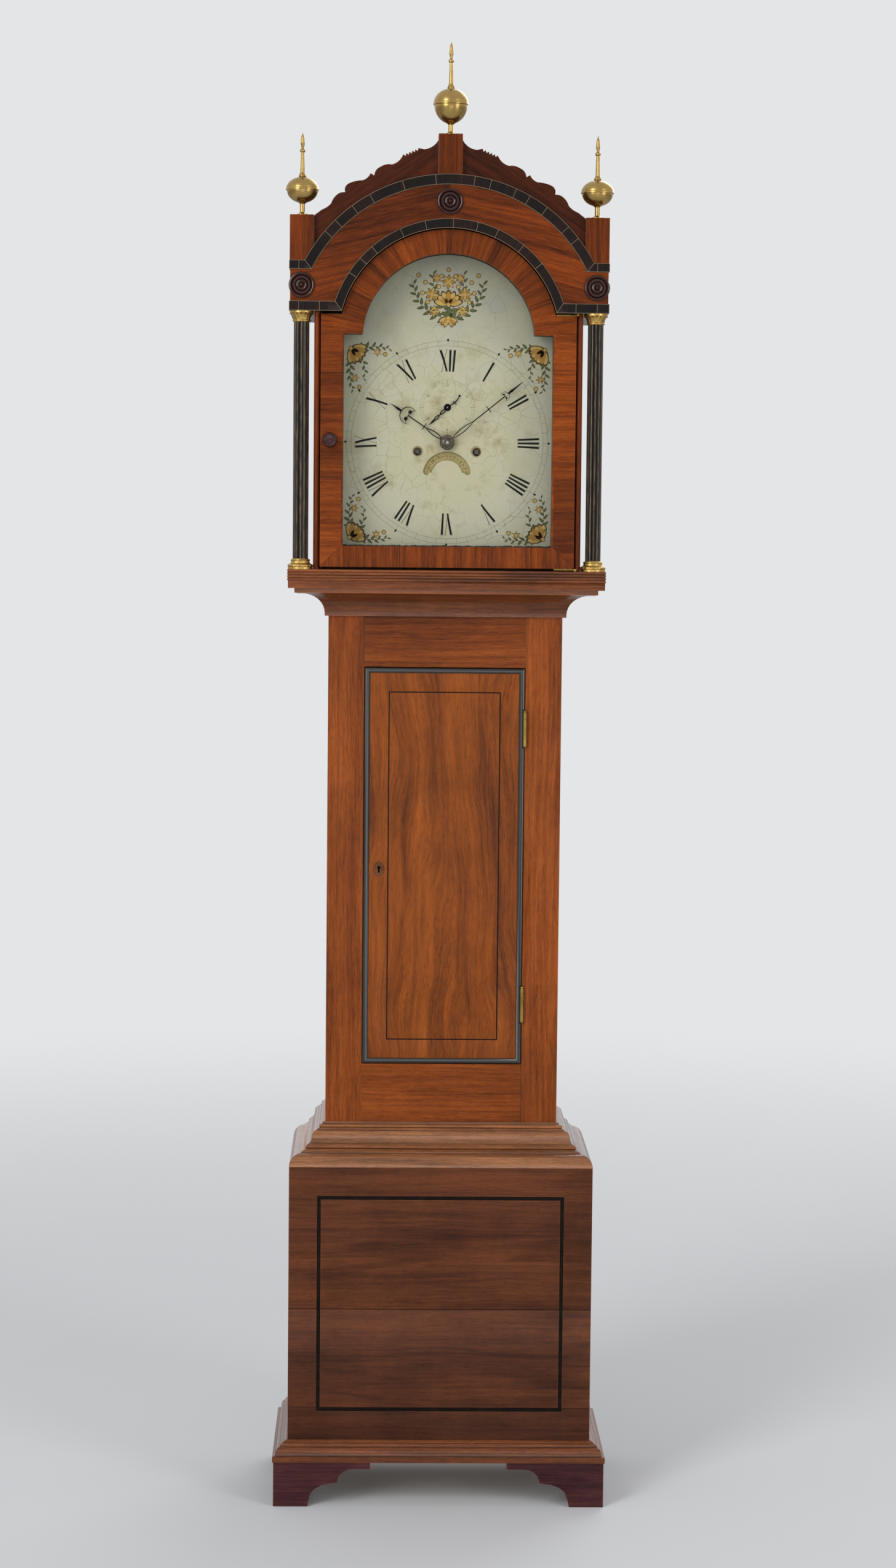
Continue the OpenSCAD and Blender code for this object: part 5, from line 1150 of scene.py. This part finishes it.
def paint_figures(name, numbers, height, radius, place, body, slot, dots=0.0):
    """Numbers in a full ring, with dots between them where asked."""
    form = bmesh.new()
    step, lift = TURN/len(numbers), PAINT_BELOW
    for k, number in enumerate(numbers):
        take_in(form, written(str(number), height, radius, -step*k, lift))
    bmesh.ops.remove_doubles(form, verts=form.verts, dist=1e-8)
    made = [around(form, NUMERAL, place=place)]
    if dots:
        dot = flat_shape(circle(dots, 10, radius), lift)
        made.append(around(dot, NUMERAL, len(numbers), -step, step/2, place))
    gather(name, made, [NUMERAL], body, slot)


def outlined(name, sprays, petals, berries):
    """Painted ornament: brown outlines with the colours laid on top of them."""
    made = []
    for size, lift, top in ((1.0, 0.0, False), (0.76, 3*COAT, True)):
        for path, count, long, spread, last in sprays:
            inset, narrow = long*(1 - size)*0.4, 0.9 if top else 1
            outline = [(x*size + inset, y*size*narrow) for x, y in oval(long, long*0.5, 12, 2.0, 0.12)]
            leaf = pattern("leaf", flat_shape(outline, lift))
            made.append(SPRAY.make(marks(path, True), Pattern=leaf, Count=count, Spread=spread, Last=last,
                                   Finish=LEAF if top else UMBER, **ON_DIAL))
            bpy.data.objects.remove(leaf)
        for (x, y), heading, number, sweep, long in petals:
            place = (x, DIAL_FACE, DIAL_Z + y)
            shape = [(px*size + long*(1 - size)*0.55, py*size) for px, py in oval(long, long*0.44, 14)]
            step = sweep/(number - 1)
            for odd, colour in enumerate((GOLD, OCHRE)):
                made.append(around(flat_shape(shape, lift + odd*COAT), colour if top else UMBER,
                                   (number + 1 - odd)//2, 2*step, heading - sweep/2 + odd*step, place))
        berry = pattern("berry", flat_shape(circle(0.0034*size, 12), lift + 3*COAT))
        made.append(SPOTS.make(marks(berries), Pattern=berry, Facing=(0.0, 0.0, 0.0), Seed=7,
                               Finish=GOLD if top else UMBER, **ON_DIAL))
        bpy.data.objects.remove(berry)
    for path, *_ in sprays:
        made.append(STEM.make(marks(path, True), Thickness=0.00028, Finish=UMBER, **ON_DIAL))
    gather(name, made, [UMBER, LEAF, OCHRE, GOLD], "case", "dial_paint")


def bow(start, bend, end):
    """Points of a smooth bow from start to end, drawn towards bend."""
    points = []
    for k in range(14):
        t = k/13
        points.append(tuple((1 - t)**2*a + 2*t*(1 - t)*b + t*t*c for a, b, c in zip(start, bend, end)))
    return points


# Sprigs: start, bend and end of the line, then count, length, spread and last size of the leaves
CORNER_SPRIGS = (
    ((0.132, -0.008), (0.108, 0.002), (0.084, -0.005), 11, 0.0115, 0.75, 0.45),
    ((0.136, -0.014), (0.1445, -0.036), (0.136, -0.064), 11, 0.0115, 0.75, 0.45),
    ((0.124, -0.018), (0.116, -0.034), (0.120, -0.048), 6, 0.009, 0.7, 0.5),
)
CORNER_BERRIES = ((0.1395, -0.0045), (0.090, -0.013), (0.127, -0.060), (0.101, -0.010), (0.133, -0.047))
ARCH_SPRIGS = (
    ((-0.010, 0.176), (0.046, 0.180), (0.050, 0.226), 17, 0.0135, 0.8, 0.6),
    ((-0.004, 0.181), (0.024, 0.204), (0.022, 0.240), 13, 0.0120, 0.8, 0.6),
)
ARCH_BERRIES = ((0.030, 0.200), (0.037, 0.213), (0.012, 0.206), (0.014, 0.222), (0.033, 0.228),
                (0.010, 0.237), (0.043, 0.238), (0.021, 0.190))
ARCH_BLOOMS = ((-0.0235, 0.211, 0.0105), (0.0235, 0.211, 0.0105), (0, 0.229, 0.0105), (-0.020, 0.187, 0.0085),
               (0.020, 0.187, 0.0085), (-0.0165, 0.234, 0.007), (0.0165, 0.234, 0.007))


def drawn(sprigs, spot):
    """Sprigs with their lines drawn, after spot has put their points in place."""
    return [(bow(*(spot(*point) for point in sprig[:3])), *sprig[3:]) for sprig in sprigs]


def fanned(fans):
    """Fans of petals, given as place, heading, count, sweep in degrees and length."""
    return [(place, heading, count, math.radians(sweep), long) for place, heading, count, sweep, long in fans]


def paint_corner(name, across, up, top):
    """A fan of petals in a corner, with a leafy sprig along each edge of the dial."""
    def spot(x, y):
        return (across*x, up*(top + y))
    heading = math.atan2(-up, -across)
    fans = ((spot(0.139, -0.004), heading, 7, 96, 0.024), (spot(0.1385, -0.0045), heading, 5, 76, 0.013),
            (spot(0.101, -0.010), 0.0, 6, 300, 0.0062), (spot(0.133, -0.047), 0.6, 6, 300, 0.0062))
    berries = [spot(*berry) for berry in CORNER_BERRIES]
    outlined("corner_" + name, drawn(CORNER_SPRIGS, spot), fanned(fans), berries)


def paint_arch():
    """Two leafy branches crossed low down, with blooms and round berries between them."""
    sprays, berries = [], []
    for side in (-1, 1):
        sprays += drawn(ARCH_SPRIGS, lambda x, y: (side*x, y))
        berries += [(side*x, y) for x, y in ARCH_BERRIES]
    high, low = (0, 0.196), (0, 0.178)
    fans = [(high, TURN/4, 7, 150, 0.022), (high, TURN/4, 5, 110, 0.013),
            (low, TURN*5/8, 3, 44, 0.015), (low, TURN*7/8, 3, 44, 0.015)]
    fans += [((x, y), 0.3 + 40*x, 8, 315, long) for x, y, long in ARCH_BLOOMS]
    berries += [(x, y) for x, y, _ in ARCH_BLOOMS] + [low, high, (0, 0.246)]
    outlined("arch_branches", sprays, fanned(fans), berries)


paint_numerals()
paint_rings()
paint_figures("seconds_figures", [60, 10, 20, 30, 40, 50], 0.0026, 0.0318, SECONDS_MIDDLE,
              "case", "dial_paint")
paint_figures("calendar_figures", range(1, 32, 2), 0.0040, 0.0285, CALENDAR_MIDDLE,
              "date_disc", "calendar_paint", 0.0007)
for row, up, top in (("upper", 1, 0.138), ("lower", -1, 0.142)):
    for column, across in (("left", -1), ("right", 1)):
        paint_corner(row + "_" + column, across, up, top)
paint_arch()


# STAGE, LIGHT AND CAMERA

BACKGROUND = 0.80
LIT_BY_ROOM = 0.45
SKY = (0.97, 0.98, 1.0, 1)
FLOOR_GAP = 0.0003
CAMERA_PLACE = (-0.089, -4.510, 1.396)
CAMERA_TURN = (1.22, 4.49, 0.55)
FILM_HEIGHT = 36
FOCAL_PIXELS, PICTURE_PIXELS = 5018, 2548


def stage():
    """A wide pale floor that keeps the clock's shadow and runs into the background far away."""
    form = bmesh.new()
    bmesh.ops.create_circle(form, cap_ends=True, segments=96, radius=40)
    floor = stand("floor", mesh_of("floor", form))
    floor.location.z = -FLOOR_GAP
    finish = Finish("floor_pale", Roughness=0.85, Specular_IOR_Level=0.1)
    finish.done(finish.mixed(finish.cloud(finish.place, 2), "e2e4e6", "e6e8ea"))
    inputs = {"Value": finish.length(finish.place), "From Min": 0.9, "From Max": 4.5}
    far = finish.add("MapRange", inputs, interpolation_type="SMOOTHSTEP")[0]
    seen = finish.add("LightPath")["Is Camera Ray"]
    glow = finish.add("Emission", {"Color": SKY, "Strength": BACKGROUND})[0]
    both = finish.add("MixShader", {0: finish.times(far, seen), 1: finish.shader.outputs[0], 2: glow})[0]
    finish.feed(finish.tree.nodes["Material Output"].inputs["Surface"], both)
    floor.data.materials.append(finish.material)


def lamp(name, place, aim, power, size):
    light = bpy.data.lights.new(name, "AREA")
    light.energy = power
    light.shape = "RECTANGLE"
    light.size, light.size_y = size
    thing = stand(name, light)
    thing.location = place
    thing.rotation_euler = (Vector(aim) - Vector(place)).to_track_quat("-Z", "Y").to_euler()


def room():
    """An even sky, brighter to the camera, in reflections and through glass than it lights the clock."""
    world = bpy.data.worlds.new("studio")
    bpy.context.scene.world = world
    world.use_nodes = True
    tree = Tree(world.node_tree, "ShaderNode")
    rays = tree.add("LightPath")
    seen = rays["Is Camera Ray"]
    for ray in ("Is Glossy Ray", "Is Transmission Ray"):
        seen = tree.add("Math", {0: seen, 1: rays[ray]}, operation="MAXIMUM")[0]
    back = world.node_tree.nodes["Background"]
    level = tree.add("MapRange", {"Value": seen, "To Min": LIT_BY_ROOM, "To Max": BACKGROUND})[0]
    tree.feed(back.inputs["Strength"], level)
    tree.feed(back.inputs["Color"], SKY)


def camera():
    yaw, pitch, roll = (math.radians(angle) for angle in CAMERA_TURN)
    ahead = Vector((math.sin(yaw)*math.cos(pitch), math.cos(yaw)*math.cos(pitch), -math.sin(pitch)))
    right = ahead.cross(UP).normalized()
    up = right.cross(ahead)
    across = math.cos(roll)*right + math.sin(roll)*up
    top = math.cos(roll)*up - math.sin(roll)*right
    lens = bpy.data.cameras.new("view")
    lens.sensor_fit = "VERTICAL"
    lens.sensor_height = FILM_HEIGHT
    lens.lens = FOCAL_PIXELS/PICTURE_PIXELS*FILM_HEIGHT
    lens.clip_end = 100
    thing = stand("view", lens)
    turn = Matrix((across, top, -ahead)).transposed().to_4x4()
    thing.matrix_world = Matrix.Translation(CAMERA_PLACE) @ turn
    bpy.context.scene.camera = thing


stage()
room()
camera()
lamp("key", (-2.5, -3.5, 2.9), (0, 0, 1.2), 92, (1.4, 3.4))
lamp("fill", (3.0, -3.0, 1.9), (0, 0, 1.1), 40, (1.2, 3.4))
lamp("low", (0.2, -4.8, 0.7), (0, 0, 0.6), 16, (2.5, 1.2))
lamp("rim", (1.2, 2.6, 3.2), (0, 0, 1.4), 30, (2.0, 2.0))
bpy.context.scene.view_settings.view_transform = "Standard"
